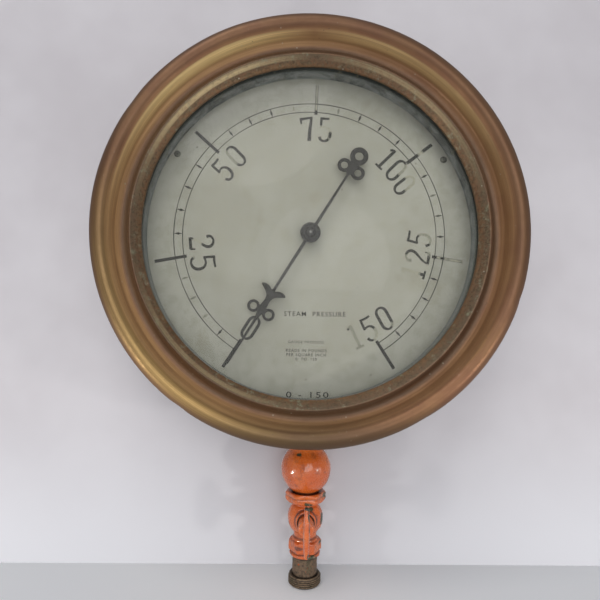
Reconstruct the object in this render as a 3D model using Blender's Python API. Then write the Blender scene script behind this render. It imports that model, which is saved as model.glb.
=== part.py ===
"""Dial steam pressure gauge with ball siphon and plug cock.

+X is right, +Y towards the back of the gauge (the dial looks along -Y), +Z up.
Sizes are in mm and become metres where points are made.  Pieces are laid out
from a datum on the stem axis, with the gauge axis along Y at x = 0, z = DIAL_Z.
An empty carries them all, so that the world origin is the centre of the case's
flat back.

Face coordinates are (x, z) from the gauge axis, with a height h measured from
the dial face towards the viewer: a point at h lies at y = DIAL_Y - h.  Names
ending in _BACK and _FRONT are such heights.  Clock angles are in degrees,
clockwise from the top as the viewer sees the dial.
"""
import math

import bmesh
import bpy
from mathutils import Matrix, Vector

MM = 0.001
GAP = 0.3              # running gap between neighbouring pieces
OVERSHOOT = 2.0        # how far a drill passes each side of its plate

# ---- main layout ----------------------------------------------------------------
DIAL_Z = 264.0         # gauge axis above the datum
DIAL_Y = -20.0         # dial face
AXIS = (0.0, 0.0)      # gauge axis in face coordinates

# ---- case and bezel ---------------------------------------------------------------
CASE_BACK = -43.8
CASE_R = 128.0
CASE_WALL = 5.5
CASE_FLOOR = 4.0
RIM_R = 149.2
RIM_INNER_R = 138.0
RIM_FRONT = 13.5
LEDGE_FRONT = -1.8
BEZEL_R = 158.75       # 12 1/2 in over the brass ring

# ---- dial and glass ---------------------------------------------------------------
DIAL_R = 131.5
DIAL_T = 1.5
DIAL_HOLE_R = 3.2
WINDOW_R = 128.0
SPACER_R = 133.0
SPACER_FRONT = 14.9
GLASS_R = 133.6
GLASS_BACK = SPACER_FRONT + GAP
GLASS_FRONT = GLASS_BACK + 3.0
GASKET_INNER_R = 127.5
GASKET_FRONT = 19.4

# ---- screws -----------------------------------------------------------------------
SCREW_HOLE_R = 1.9     # for the dial and movement screws
SOCKET_HOLE_R = 2.3
SOCKET_SCREWS = [(-29.0, -104.0), (29.0, -104.0)]
PLATE_SCREWS = [(0.0, -72.0), (-4.0, -32.0)]
SLOT_WIDTH = 0.9
SLOT_TILT = 25.0       # degrees

# ---- socket -----------------------------------------------------------------------
SHANK_R = 13.0

# ---- bourdon tube -----------------------------------------------------------------
TUBE_R = 88.0          # centre line radius
TUBE_H = -20.0         # height of the centre line
TUBE_ROOT = 194.4      # clock angle of the root
TUBE_END = 460.0       # clock angle of the free end
TUBE_HALF_W = 4.6      # half thickness, along the radius
TUBE_HALF_H = 11.0     # half width, along the gauge axis
TUBE_WALL = 1.1
TIP_WALL = 0.9         # how far the tip stands out past the tube skin

# ---- movement ---------------------------------------------------------------------
MODULE = 0.6
PRESSURE_ANGLE = 20.0
ADDENDUM = 0.85        # in modules
DEDENDUM = 1.2         # in modules
BACKLASH = 0.09        # taken off each flank
FLANK_STEPS = 2
PINION_TEETH = 15
SECTOR_TEETH = 150     # teeth on a full circle of the sector
SCALE_SWEEP = 295.0    # pointer travel, degrees
SECTOR_SWEEP = SCALE_SWEEP * PINION_TEETH / SECTOR_TEETH
TAIL_ARM = 16.0        # sector pivot to tail pin
SECTOR_CLOCK = 135.6   # clock angle of the sector pivot
LINK_SLOPE = (0.457, 0.889)   # (x, z) from the sector tail towards the tube end
LINK_W = 6.4
PLATE_T = 2.4
BACK_PLATE_BACK = -30.0
BACK_PLATE_FRONT = BACK_PLATE_BACK + PLATE_T
FRONT_PLATE_FRONT = -10.0
FRONT_PLATE_BACK = FRONT_PLATE_FRONT - PLATE_T
PILLARS = [(-15.0, 13.0), (45.0, -12.0), (8.0, -62.0)]
PILLAR_PAD_R = 5.5     # rounding of the plates about the pillars
SECTOR_BACK, SECTOR_FRONT = -20.4, -18.6
LINK_BACK, LINK_FRONT = -18.2, -16.6
EAR_BACK, EAR_FRONT = -21.6, -18.6
PINION_BACK, PINION_FRONT = -22.0, -16.0
COLLET_BACK, COLLET_FRONT = -25.6, -23.6
PIN_HOLE_R = 1.9       # tail and ear holes the shoulder pins sit in
PIVOT_HOLE_R = 1.5     # plate holes for the arbor ends
ARBOR_BORE_R = 1.9     # pinion, collet and front plate on the centre arbor

# ---- hairspring -------------------------------------------------------------------
SPRING_TURNS = 5.0
SPRING_STEPS = 64
SPRING_START_R, SPRING_END_R = 3.6, 12.6
SPRING_T = 0.35
SPRING_BACK, SPRING_FRONT = -25.3, -24.3
SPRING_START = math.radians(250)

# ---- pointer ----------------------------------------------------------------------
REST_CLOCK = 211.4     # clock angle of the pointer at zero
POINTER_BACK, POINTER_FRONT = 7.2, 8.4
POINTER_SCALE = 1.027  # pointer tables to mm

# ---- stem, heights above the datum ------------------------------------------------
BALL_Z, BALL_R = 78.2, 20.2
BALL_WALL = 3.2
COLLAR_BOTTOM, COLLAR_TOP, COLLAR_FLATS = 52.9, 60.5, 29.0
COCK_Z, COCK_R = 40.1, 14.1
PLUG_Z = 40.5
WAIST_Z, WAIST_R = 25.8, 8.9
HEX_BOTTOM, HEX_TOP, HEX_FLATS = 11.4, 23.2, 22.9
HEX_FOOT_R = 12.1
NIPPLE_R = 9.85
NIPPLE_BORE_R = 5.9
NIPPLE_TOP = 21.5
RING_BOTTOM, RING_R, RING_HEIGHT = -10.2, 12.85, 7.2
WATERWAY_R = 4.0
STUD_HOLE_R = 3.5      # washer and nut on the plug's stud

# ---- materials --------------------------------------------------------------------
AGED_BRASS = dict(colour=(0.36, 0.20, 0.10), rough=0.38, metal=1.0)
BRIGHT_BRASS = dict(colour=(0.55, 0.40, 0.18), rough=0.35, metal=1.0)
BRONZE = dict(colour=(0.40, 0.25, 0.12), rough=0.4, metal=1.0)
STEEL = dict(colour=(0.42, 0.42, 0.40), rough=0.35, metal=1.0)
BLACK_IRON = dict(colour=(0.03, 0.03, 0.03), rough=0.55, metal=0.0)
ORANGE = dict(colour=(0.55, 0.12, 0.03), rough=0.35, metal=0.0)
DARK_PIPE = dict(colour=(0.12, 0.09, 0.06), rough=0.6, metal=0.6)
SILVERED = dict(colour=(0.38, 0.40, 0.34), rough=0.5, metal=0.2)
BLACK = dict(colour=(0.012, 0.012, 0.010), rough=0.45, metal=0.0)
DARK_GREEN = dict(colour=(0.05, 0.08, 0.08), rough=0.5, metal=0.0)
CLEAR_GLASS = dict(colour=(0.9, 0.95, 0.95), rough=0.03, metal=0.0, alpha=0.15)


def material(name, colour, rough, metal, alpha=1.0):
    mat = bpy.data.materials.new(name)
    mat.use_nodes = True
    inputs = mat.node_tree.nodes["Principled BSDF"].inputs
    inputs["Base Color"].default_value = (*colour, 1.0)
    inputs["Roughness"].default_value = rough
    inputs["Metallic"].default_value = metal
    inputs["Alpha"].default_value = alpha
    mat.diffuse_color = (*colour, 1.0)
    return mat


def dress(ob, look, sharp=32):
    """Give the piece its own material and shade it, sharp above an angle in degrees."""
    ob.data.materials.clear()
    ob.data.materials.append(material(ob.name + "_mat", **look))
    ob.data.shade_smooth()
    ob.data.set_sharp_from_angle(angle=math.radians(sharp))


# ---- points -----------------------------------------------------------------------
def face_point(x, z, height):
    """A point in metres from face coordinates."""
    return Vector((x * MM, (DIAL_Y - height) * MM, (DIAL_Z + z) * MM))


def datum_point(x, y, z):
    """A point in metres from mm about the datum."""
    return Vector((x * MM, y * MM, z * MM))


def clock(radius, degrees):
    """Face coordinates at a radius and clock angle."""
    angle = math.radians(degrees)
    return (radius * math.sin(angle), radius * math.cos(angle))


def polar(centre, radius, angle):
    """Face coordinates at a radius and an anticlockwise angle from +X, radians."""
    return (centre[0] + radius * math.cos(angle), centre[1] + radius * math.sin(angle))


# ---- solids -----------------------------------------------------------------------
def finish(mesh, name):
    bmesh.ops.remove_doubles(mesh, verts=mesh.verts, dist=2e-6)
    bmesh.ops.recalc_face_normals(mesh, faces=mesh.faces)
    data = bpy.data.meshes.new(name)
    mesh.to_mesh(data)
    mesh.free()
    ob = bpy.data.objects.new(name, data)
    bpy.context.scene.collection.objects.link(ob)
    return ob


def loft(rings, name, closed_loop=False):
    """A skin over rings of equal length; capped unless it closes on itself."""
    mesh = bmesh.new()
    rows = [[mesh.verts.new(point) for point in ring] for ring in rings]
    count = len(rings[0])
    pairs = list(zip(rows, rows[1:]))
    if closed_loop:
        pairs.append((rows[-1], rows[0]))
    for near, far in pairs:
        for i in range(count):
            j = (i + 1) % count
            mesh.faces.new((near[i], near[j], far[j], far[i]))
    if not closed_loop:
        mesh.faces.new(rows[0][::-1])
        mesh.faces.new(rows[-1])
    return finish(mesh, name)


def spin(points, centre, axis, segs, name, on_axis):
    """Spin an outline right round an axis; it is closed unless its ends are on the axis."""
    mesh = bmesh.new()
    verts = [mesh.verts.new(point) for point in points]
    pairs = list(zip(verts, verts[1:]))
    if not on_axis:
        pairs.append((verts[-1], verts[0]))
    edges = [mesh.edges.new(pair) for pair in pairs]
    bmesh.ops.spin(mesh, geom=verts + edges, cent=centre, axis=axis,
                   angle=2 * math.pi, steps=segs, use_merge=True)
    return finish(mesh, name)


def turn_face(profile, segs, name):
    """Turned piece on the gauge axis, outline as (radius, h)."""
    points = [face_point(radius, 0, height) for radius, height in profile]
    return spin(points, face_point(0, 0, 0), Vector((0, 1, 0)), segs, name,
                on_axis=profile[0][0] == 0)


def turn_stem(profile, segs, name="tool"):
    """Turned piece on the stem axis, outline as (radius, z)."""
    points = [datum_point(radius, 0, z) for radius, z in profile]
    return spin(points, Vector((0, 0, 0)), Vector((0, 0, 1)), segs, name,
                on_axis=profile[0][0] == 0)


def turned_at(centre, profile, segs, name):
    """Solid turned piece parallel to the gauge axis, capped at the first and last (radius, h)."""
    x, z = centre
    turns = [2 * math.pi * i / segs for i in range(segs)]
    return loft([[face_point(x + radius * math.cos(turn), z + radius * math.sin(turn), height)
                  for turn in turns] for radius, height in profile], name)


def rod(start, end, radius, segs=16, end_radius=None, name="tool"):
    """Round bar between two points in metres, radii in mm."""
    along = (end - start).normalized()
    side = along.orthogonal().normalized()
    up = along.cross(side)
    turns = [2 * math.pi * i / segs for i in range(segs)]
    if end_radius is None:
        end_radius = radius
    return loft([[point + (side * math.cos(turn) + up * math.sin(turn)) * size * MM
                  for turn in turns]
                 for point, size in ((start, radius), (end, end_radius))], name)


def face_rod(centre, h_back, h_front, radius, segs=16, name="tool"):
    """Rod parallel to the gauge axis."""
    return rod(face_point(*centre, h_back), face_point(*centre, h_front), radius, segs, name=name)


def stem_rod(z_low, z_high, radius, segs, top_radius=None):
    """Rod on the stem axis."""
    return rod(datum_point(0, 0, z_low), datum_point(0, 0, z_high), radius, segs, top_radius)


def plug_rod(y_front, y_back, radius, segs, back_radius=None, name="tool"):
    """Rod on the axis of the cock's plug."""
    return rod(datum_point(0, y_front, PLUG_Z), datum_point(0, y_back, PLUG_Z),
               radius, segs, back_radius, name)


def plate(outline, h_back, h_front, name="tool"):
    """Flat plate parallel to the dial, outline in face coordinates."""
    return loft([[face_point(x, z, height) for x, z in outline]
                 for height in (h_back, h_front)], name)


def block(x_range, y_range, z_range):
    """Rectangular block about the datum."""
    (left, right), (front, back) = x_range, y_range
    corners = ((left, front), (right, front), (right, back), (left, back))
    return loft([[datum_point(x, y, z) for x, y in corners] for z in z_range], "tool")


def hexagon(flats, z_low, z_high, chamfer, name="tool"):
    """Hexagonal bar on the stem axis with one flat facing the viewer."""
    corner_r = flats / 2 / math.cos(math.pi / 6)
    angles = [math.radians(60 * i) for i in range(6)]
    levels = [(z_low, corner_r - chamfer), (z_low + chamfer, corner_r),
              (z_high - chamfer, corner_r), (z_high, corner_r - chamfer)]
    return loft([[datum_point(radius * math.cos(angle), radius * math.sin(angle), z)
                  for angle in angles] for z, radius in levels], name)


def hull_outline(discs, steps=10):
    """Convex outline round a set of (x, z, radius) discs."""
    points = set()
    for x, z, radius in discs:
        for i in range(steps * 2):
            edge_x, edge_z = polar((x, z), radius, math.pi * i / steps)
            points.add((round(edge_x, 4), round(edge_z, 4)))
    points = sorted(points)

    def half(sequence):
        chain = []
        for point in sequence:
            while len(chain) > 1:
                (far_x, far_z), (near_x, near_z) = chain[-2:]
                turn = ((near_x - far_x) * (point[1] - far_z)
                        - (near_z - far_z) * (point[0] - far_x))
                if turn > 1e-6:
                    break
                chain.pop()
            chain.append(point)
        return chain[:-1]

    return half(points) + half(points[::-1])


# ---- Boolean steps ----------------------------------------------------------------
def boolean(target, tools, operation):
    """Apply Boolean steps to target and remove the tool bodies."""
    for tool in tools:
        step = target.modifiers.new("b", 'BOOLEAN')
        step.operation = operation
        step.solver = 'EXACT'
        step.object = tool
    bpy.context.view_layer.update()
    depsgraph = bpy.context.evaluated_depsgraph_get()
    data = bpy.data.meshes.new_from_object(target.evaluated_get(depsgraph))
    target.modifiers.clear()
    target.data = data
    data.name = target.name
    for tool in tools:
        bpy.data.objects.remove(tool, do_unlink=True)
    return target


def join(target, *tools):
    return boolean(target, tools, 'UNION')


def cut(target, *tools):
    return boolean(target, tools, 'DIFFERENCE')


def drills(centres, h_back, h_front, radius, segs):
    """Tools for holes right through a plate lying between two heights."""
    return [face_rod(centre, h_back - OVERSHOOT, h_front + OVERSHOOT, radius, segs)
            for centre in centres]


def screws(centres, prefix, seat, length, radius, head_r, head_t, look=STEEL):
    """Numbered slotted screws along the gauge axis, heads in front of their seat."""
    for number, (x, z) in enumerate(centres, 1):
        body = turned_at((x, z), [(radius, seat - length), (radius, seat), (head_r, seat),
                                  (head_r, seat + head_t * 0.7),
                                  (head_r * 0.82, seat + head_t)], 10, "%s_%d" % (prefix, number))
        cosine, sine = math.cos(math.radians(SLOT_TILT)), math.sin(math.radians(SLOT_TILT))
        long, half = 2 * head_r, SLOT_WIDTH / 2
        corners = [(x + along * cosine - across * sine, z + along * sine + across * cosine)
                   for along, across in ((-long, -half), (long, -half), (long, half), (-long, half))]
        slot = plate(corners, seat + head_t * 0.55, seat + head_t * 1.4)
        dress(cut(body, slot), look)


# =============================================================================
# case, ring, glass and dial
# =============================================================================
DIAL_SCREWS = [clock(124.0, angle) for angle in (-59.3, 59.3)]

# brass ring, (radius, h): heavy outer roll, cove, bead and a lip over the glass,
# then back along the inside of the shell
BEZEL_PROFILE = [
    (156.0, 4.2), (157.0, 20.0), (158.3, 28.5), (BEZEL_R, 33.0), (157.6, 36.9),
    (154.6, 39.8), (151.0, 40.9), (147.4, 39.6), (144.9, 35.6), (143.3, 26.0),
    (140.9, 23.3), (137.6, 22.9), (134.5, 26.0), (132.6, 28.5), (131.0, 27.4),
    (126.0, 20.9), (126.2, 19.7), (134.4, 19.7), (134.4, 15.4), (137.4, 15.4),
    (138.2, 19.2), (145.2, 25.0), (147.6, 33.5), (151.0, 37.3), (154.6, 34.0),
    (153.6, 25.5), (149.55, 22.5), (149.55, 4.2)]


def build_case():
    inner_r = CASE_R - CASE_WALL
    floor = CASE_BACK + CASE_FLOOR
    case = turn_face([
        (0, CASE_BACK), (CASE_R - 10, CASE_BACK), (CASE_R - 3.5, CASE_BACK + 2.6),
        (CASE_R, CASE_BACK + 9.5), (CASE_R, -14.0), (CASE_R + 3, -9.5), (RIM_R - 3.2, -7.4),
        (RIM_R, -5.0), (RIM_R, RIM_FRONT), (RIM_INNER_R, RIM_FRONT), (RIM_INNER_R, LEDGE_FRONT),
        (inner_r, LEDGE_FRONT), (inner_r, floor + 7), (inner_r - 7, floor), (0, floor)],
        44, "case_shell")
    dial_lugs = [plate(hull_outline([(x * 0.945, z * 0.945, 5.2), (x * 0.972, z * 0.972, 5.2)], 6),
                       -16.0, LEDGE_FRONT) for x, z in DIAL_SCREWS]
    socket_pads = [face_rod(centre, CASE_BACK + 1.0, -36.6, 7.0) for centre in SOCKET_SCREWS]
    shank_boss = stem_rod(133.0, 146.0, 18.5, 24)
    case = join(case, *dial_lugs, *socket_pads, shank_boss)
    shank_hole = stem_rod(125, 152, SHANK_R + GAP, 24)
    wrench_notch = stem_rod(100, 125.2, 17.2, 24)
    dial_holes = [face_rod(centre, -12.0, 2.0, SCREW_HOLE_R, 8) for centre in DIAL_SCREWS]
    socket_holes = [face_rod(centre, -41.6, -30.0, SOCKET_HOLE_R, 12) for centre in SOCKET_SCREWS]
    dress(cut(case, shank_hole, wrench_notch, *dial_holes, *socket_holes), BLACK_IRON)


def build_front():
    dress(turn_face(BEZEL_PROFILE, 44, "bezel_ring"), AGED_BRASS)
    dress(turn_face([(0, GLASS_BACK), (GLASS_R, GLASS_BACK), (GLASS_R, GLASS_FRONT),
                     (0, GLASS_FRONT)], 40, "glass"), CLEAR_GLASS)
    # plain rings: name, outer radius, inner radius, back, front, look
    for name, outer_r, inner_r, back, front, look in (
            ("glass_gasket", GLASS_R, GASKET_INNER_R, GLASS_FRONT + GAP, GASKET_FRONT, BLACK),
            ("spacer_ring", SPACER_R, WINDOW_R, GAP, SPACER_FRONT, DARK_GREEN)):
        dress(turn_face([(outer_r, back), (outer_r, front), (inner_r, front), (inner_r, back)],
                        40, name), look)


def build_dial():
    dial = turn_face([(DIAL_R, -DIAL_T), (DIAL_R, 0), (DIAL_HOLE_R, 0), (DIAL_HOLE_R, -DIAL_T)],
                     40, "dial_plate")
    dress(cut(dial, *drills(DIAL_SCREWS, -DIAL_T, 0, SCREW_HOLE_R, 8)), SILVERED)
    screws(DIAL_SCREWS, "dial_screw", seat=GAP, length=8.0, radius=1.5,
           head_r=2.7, head_t=1.1, look=BRIGHT_BRASS)


# =============================================================================
# socket and bourdon tube
# =============================================================================
# spigot, neck and shank, (radius, z)
SOCKET_PROFILE = [(0, 104.0), (8.6, 104.0), (8.6, 112.2), (11.5, 112.2), (11.5, 124.0),
                  (SHANK_R, 124.5), (SHANK_R, 156.0), (0, 156.0)]


def build_socket():
    """Forged socket: spigot, hexagon, shank through the case wall, tube block, tang."""
    port_z = 178
    tube_block = block((-20.0, 20.0), (-11.5, 11.0), (153.0, 184.0))
    ears = block((-37.0, 37.0), (10.5, 16.3), (154.0, 166.0))
    tang = block((-12.0, 12.0), (10.5, 16.0), (160.0, 244.0))
    socket = join(turn_stem(SOCKET_PROFILE, 24, "socket"),
                  hexagon(27.0, 112.2, 123.6, chamfer=1.0), tube_block, ears, tang)
    steam_way = stem_rod(100, 176, 3.2, 14)
    tube_port = rod(datum_point(-30, 0, port_z), datum_point(1, 0, port_z), 2.6, 14)
    cross_way = stem_rod(170, 180, 2.0, 10)
    socket = cut(socket, steam_way, tube_port, cross_way,
                 *[face_rod(centre, -44.0, -30.0, SOCKET_HOLE_R, 12) for centre in SOCKET_SCREWS],
                 *[face_rod(centre, -37.0, -29.0, SCREW_HOLE_R, 12) for centre in PLATE_SCREWS])
    dress(socket, BRONZE)
    screws(SOCKET_SCREWS, "socket_screw", seat=-30.2, length=9.0, radius=1.9,
           head_r=4.0, head_t=2.4)


def oval_ring(centre, outward, half_w, half_h, count):
    """Flat-oval section: half_w along the unit vector outward, half_h along Y."""
    ring = []
    for i in range(count):
        turn = 2 * math.pi * (i + 0.5) / count
        across, deep = (math.copysign(abs(part) ** 0.8, part)
                        for part in (math.cos(turn), math.sin(turn)))
        ring.append(centre + outward * (half_w * across * MM)
                    + Vector((0, 1, 0)) * (half_h * deep * MM))
    return ring


def tube_skin(start, end, steps, grow, count):
    """Oval rings along the tube's arc, grown outwards from the tube's skin."""
    rings = []
    for i in range(steps + 1):
        angle = start + (end - start) * i / steps
        out_x, out_z = clock(1.0, angle)
        rings.append(oval_ring(face_point(*clock(TUBE_R, angle), TUBE_H),
                               Vector((out_x, 0, out_z)),
                               TUBE_HALF_W + grow, TUBE_HALF_H + grow, count))
    return rings


def build_tube():
    """An open oval pipe: outer skin out, inner skin back, joined at both ends."""
    outer = tube_skin(TUBE_ROOT, TUBE_END, 24, 0, 10)
    inner = tube_skin(TUBE_ROOT, TUBE_END, 24, -TUBE_WALL, 10)
    dress(loft(outer + inner[::-1], "bourdon_tube", closed_loop=True), BRIGHT_BRASS, sharp=50)


# ---- linkage at rest ----------------------------------------------------------------
# the tube uncurls about the centroid of its own arc
HALF_ARC = math.radians(TUBE_END - TUBE_ROOT) / 2
FLEX = clock(TUBE_R * math.sin(HALF_ARC) / HALF_ARC, (TUBE_ROOT + TUBE_END) / 2)
SECTOR = clock(MODULE * (PINION_TEETH + SECTOR_TEETH) / 2, SECTOR_CLOCK)
HALF_SWEEP = math.radians(SECTOR_SWEEP / 2)
# the tail stands square to the link at mid travel and lags half the sweep at rest
TAIL_SQUARE = math.atan2(LINK_SLOPE[1], LINK_SLOPE[0]) - math.pi / 2
TAIL = polar(SECTOR, TAIL_ARM, TAIL_SQUARE - HALF_SWEEP)
TAIL_TRAVEL = 2 * TAIL_ARM * math.sin(HALF_SWEEP)
# the ear starts half its travel below the line square to the link
EAR_ARM = ((TAIL[0] - FLEX[0]) * math.cos(TAIL_SQUARE)
           + (TAIL[1] - FLEX[1]) * math.sin(TAIL_SQUARE))
EAR = polar(FLEX, EAR_ARM, TAIL_SQUARE - TAIL_TRAVEL / EAR_ARM / 2)


def build_tube_tip():
    """Cap over the tube's free end with a flat arm out to the link."""
    tip = loft(tube_skin(TUBE_END + 0.3, TUBE_END + 8.5, 3, TIP_WALL, 12), "tube_tip")
    arm_root = clock(TUBE_R, TUBE_END + 4.6)
    arm = plate(hull_outline([(*EAR, 4.2), (*arm_root, 4.2)], 8), EAR_BACK, EAR_FRONT)
    tip = cut(join(tip, arm), *drills([EAR], EAR_BACK, EAR_FRONT, PIN_HOLE_R, 14))
    dress(tip, BRONZE, sharp=50)


# =============================================================================
# movement
# =============================================================================
# line from the sector pivot to the pinion axis, anticlockwise from +X
TO_PINION = math.atan2(AXIS[1] - SECTOR[1], AXIS[0] - SECTOR[0])


def root_radius(teeth):
    return MODULE * teeth / 2 - DEDENDUM * MODULE


def involute_gear(centre, teeth, first, count, phase):
    """Outline of count teeth, tooth k centred at phase + k pitches, anticlockwise."""
    pitch_r = MODULE * teeth / 2
    base_r = pitch_r * math.cos(math.radians(PRESSURE_ANGLE))
    tip_r = pitch_r + ADDENDUM * MODULE
    root_r = root_radius(teeth)
    step = 2 * math.pi / teeth

    def involute(radius):
        return math.sqrt((radius / base_r) ** 2 - 1) - math.acos(base_r / radius)

    half_tooth = step / 4 - BACKLASH / pitch_r
    start_r = max(base_r, root_r + 0.02)
    radii = [start_r + (tip_r - start_r) * i / FLANK_STEPS for i in range(FLANK_STEPS + 1)]
    # (radius, half width angle) from root to tip
    flank = [(radius, half_tooth + involute(pitch_r) - involute(radius)) for radius in radii]
    flank.insert(0, (root_r, flank[0][1]))
    points = []
    for k in range(first, first + count):
        middle = phase + k * step
        points += [polar(centre, radius, middle - width) for radius, width in flank]
        points += [polar(centre, radius, middle + width) for radius, width in flank[::-1]]
    return points


def build_sector():
    """Toothed rim on two arms with a hub and tail; a gap faces the pinion at rest."""
    step = 2 * math.pi / SECTOR_TEETH
    phase = TO_PINION + step / 2
    swept_teeth = math.ceil(math.radians(SECTOR_SWEEP) / step)
    first = -(swept_teeth + 2)
    count = swept_teeth + 5
    rim_start = phase + (first - 0.9) * step
    rim_end = phase + (first + count - 0.1) * step
    root_r = root_radius(SECTOR_TEETH)
    inner_arc = [polar(SECTOR, 37.5, rim_end + (rim_start - rim_end) * i / 8) for i in range(9)]
    rim = ([polar(SECTOR, root_r, rim_start)]
           + involute_gear(SECTOR, SECTOR_TEETH, first, count, phase)
           + [polar(SECTOR, root_r, rim_end)] + inner_arc)
    sector = plate(rim, SECTOR_BACK, SECTOR_FRONT, "sector_gear")
    hub = face_rod(SECTOR, SECTOR_BACK, SECTOR_FRONT, 6.0, 20)
    arms = [plate(hull_outline([(*SECTOR, 2.6), (*polar(SECTOR, 39.0, angle), 1.7)], 6),
                  SECTOR_BACK, SECTOR_FRONT) for angle in (rim_start + 0.05, rim_end - 0.05)]
    tail = plate(hull_outline([(*SECTOR, 4.6), (*TAIL, 3.6)], 8), SECTOR_BACK, SECTOR_FRONT)
    sector = join(sector, hub, *arms, tail)
    sector = cut(sector, *drills([SECTOR], SECTOR_BACK, SECTOR_FRONT, 2.1, 16),
                 *drills([TAIL], SECTOR_BACK, SECTOR_FRONT, PIN_HOLE_R, 14))
    dress(sector, BRIGHT_BRASS)


def build_pinion():
    """A pinion tooth faces the sector at rest."""
    outline = involute_gear(AXIS, PINION_TEETH, 0, PINION_TEETH, TO_PINION + math.pi)
    pinion = plate(outline, PINION_BACK, PINION_FRONT, "pinion")
    bore = drills([AXIS], PINION_BACK, PINION_FRONT, ARBOR_BORE_R, 16)
    dress(cut(pinion, *bore), BRIGHT_BRASS)


# arbors, (radius, h)
SECTOR_ARBOR_PROFILE = [(1.2, -29.6), (1.2, -27.2), (1.8, -27.0), (1.8, -13.0),
                        (1.2, -12.8), (1.2, -10.4)]
CENTRE_ARBOR_PROFILE = [(1.2, -29.6), (1.2, -27.2), (1.6, -27.0), (1.6, 4.0),
                        (1.2, 6.6), (0.95, 12.2)]
# pillars between the plates, (radius, h)
PILLAR_PROFILE = [(1.6, -29.8), (1.6, -27.3), (3.0, -27.3), (2.5, -25.5),
                  (2.5, -14.5), (3.0, -12.7)]


def build_arbors():
    dress(turned_at(SECTOR, SECTOR_ARBOR_PROFILE, 16, "sector_arbor"), STEEL)
    dress(turned_at(AXIS, CENTRE_ARBOR_PROFILE, 16, "center_arbor"), STEEL)


def build_movement_plates():
    pillar_pads = [(*centre, PILLAR_PAD_R) for centre in PILLARS]
    back_discs = [(*AXIS, 9), (*SECTOR, 8), (*PLATE_SCREWS[0], 8), (*PLATE_SCREWS[1], 7)]
    back = plate(hull_outline(back_discs + pillar_pads), BACK_PLATE_BACK, BACK_PLATE_FRONT,
                 "movement_back_plate")
    span = (BACK_PLATE_BACK, BACK_PLATE_FRONT)
    back = cut(back, *drills([AXIS, SECTOR], *span, PIVOT_HOLE_R, 14),
               *drills(PLATE_SCREWS, *span, SCREW_HOLE_R, 12),
               *drills(PILLARS, *span, 1.9, 12))
    dress(back, BRIGHT_BRASS)

    front = plate(hull_outline([(*AXIS, 7), (*SECTOR, 7)] + pillar_pads),
                  FRONT_PLATE_BACK, FRONT_PLATE_FRONT, "movement_front_plate")
    span = (FRONT_PLATE_BACK, FRONT_PLATE_FRONT)
    front = cut(front, *drills([AXIS], *span, ARBOR_BORE_R, 14),
                *drills([SECTOR], *span, PIVOT_HOLE_R, 14),
                *drills(PILLARS, *span, 1.7, 12))
    dress(front, BRIGHT_BRASS)


def build_pillars():
    for number, centre in enumerate(PILLARS, 1):
        pillar = turned_at(centre, PILLAR_PROFILE, 14, "pillar_%d" % number)
        tapped_hole = face_rod(centre, -19.0, -11.0, 1.5, 10)
        dress(cut(pillar, tapped_hole), BRIGHT_BRASS)
    screws(PILLARS, "pillar_screw", seat=FRONT_PLATE_FRONT + GAP, length=7.6, radius=1.2,
           head_r=2.7, head_t=1.5)
    screws(PLATE_SCREWS, "movement_screw", seat=BACK_PLATE_FRONT + GAP, length=7.5, radius=1.5,
           head_r=3.2, head_t=1.9)


def build_link():
    """Link and its two shoulder pins."""
    link = plate(hull_outline([(*TAIL, LINK_W / 2), (*EAR, LINK_W / 2)], 9),
                 LINK_BACK, LINK_FRONT, "link")
    link = cut(link, *drills([TAIL], LINK_BACK, LINK_FRONT, 1.9, 14),
               *drills([EAR], LINK_BACK, LINK_FRONT, 2.15, 14))
    dress(link, STEEL)
    head_r, pin_r = 2.7, 1.55
    for centre, back, name in ((TAIL, SECTOR_BACK - 1.5, "tail_pin"),
                               (EAR, EAR_BACK - 1.5, "tip_pin")):
        pin = turned_at(centre, [(head_r, back), (head_r, back + 1.2), (pin_r, back + 1.2),
                                 (pin_r, LINK_FRONT + GAP), (head_r, LINK_FRONT + GAP),
                                 (head_r, LINK_FRONT + 1.4)], 14, name)
        dress(pin, STEEL)


def build_hairspring():
    """A flat spiral between collet and stud."""
    half_t = SPRING_T / 2
    section = ((-half_t, SPRING_BACK), (half_t, SPRING_BACK),
               (half_t, SPRING_FRONT), (-half_t, SPRING_FRONT))
    rings = []
    for i in range(SPRING_STEPS + 1):
        part = i / SPRING_STEPS
        angle = 2 * math.pi * SPRING_TURNS * part + SPRING_START
        radius = SPRING_START_R + (SPRING_END_R - SPRING_START_R) * part
        rings.append([face_point(*polar(AXIS, radius + offset, angle), height)
                      for offset, height in section])
    dress(loft(rings, "hairspring"), STEEL)

    collet = face_rod(AXIS, COLLET_BACK, COLLET_FRONT, 3.1, name="hairspring_collet")
    bore = drills([AXIS], COLLET_BACK, COLLET_FRONT, ARBOR_BORE_R, 16)
    dress(cut(collet, *bore), BRIGHT_BRASS)

    stud_at = polar(AXIS, SPRING_END_R + 2.1, 2 * math.pi * SPRING_TURNS + SPRING_START)
    dress(turned_at(stud_at, [(1.5, BACK_PLATE_FRONT + GAP), (1.5, -22.8)], 12,
                    "hairspring_stud"), BRIGHT_BRASS)


# =============================================================================
# pointer
# =============================================================================
# Tables before POINTER_SCALE: along the needle from the axis, then square to it.
# one edge of the blade, (along, aside), tail to tip
POINTER_EDGE = [
    (-54.0, 0.8), (-4.0, 1.2), (4.0, 1.2), (51.6, 1.0), (51.0, 3.0), (50.1, 5.0), (50.0, 8.0),
    (51.0, 10.2), (51.9, 9.8), (52.6, 8.6), (54.6, 5.6), (57.2, 3.0), (60.4, 2.2), (64.6, 2.6),
    (66.2, 3.4), (69.2, 3.2), (72.4, 2.6), (75.2, 1.0), (80.0, 0.75), (116.0, 0.45)]
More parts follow.
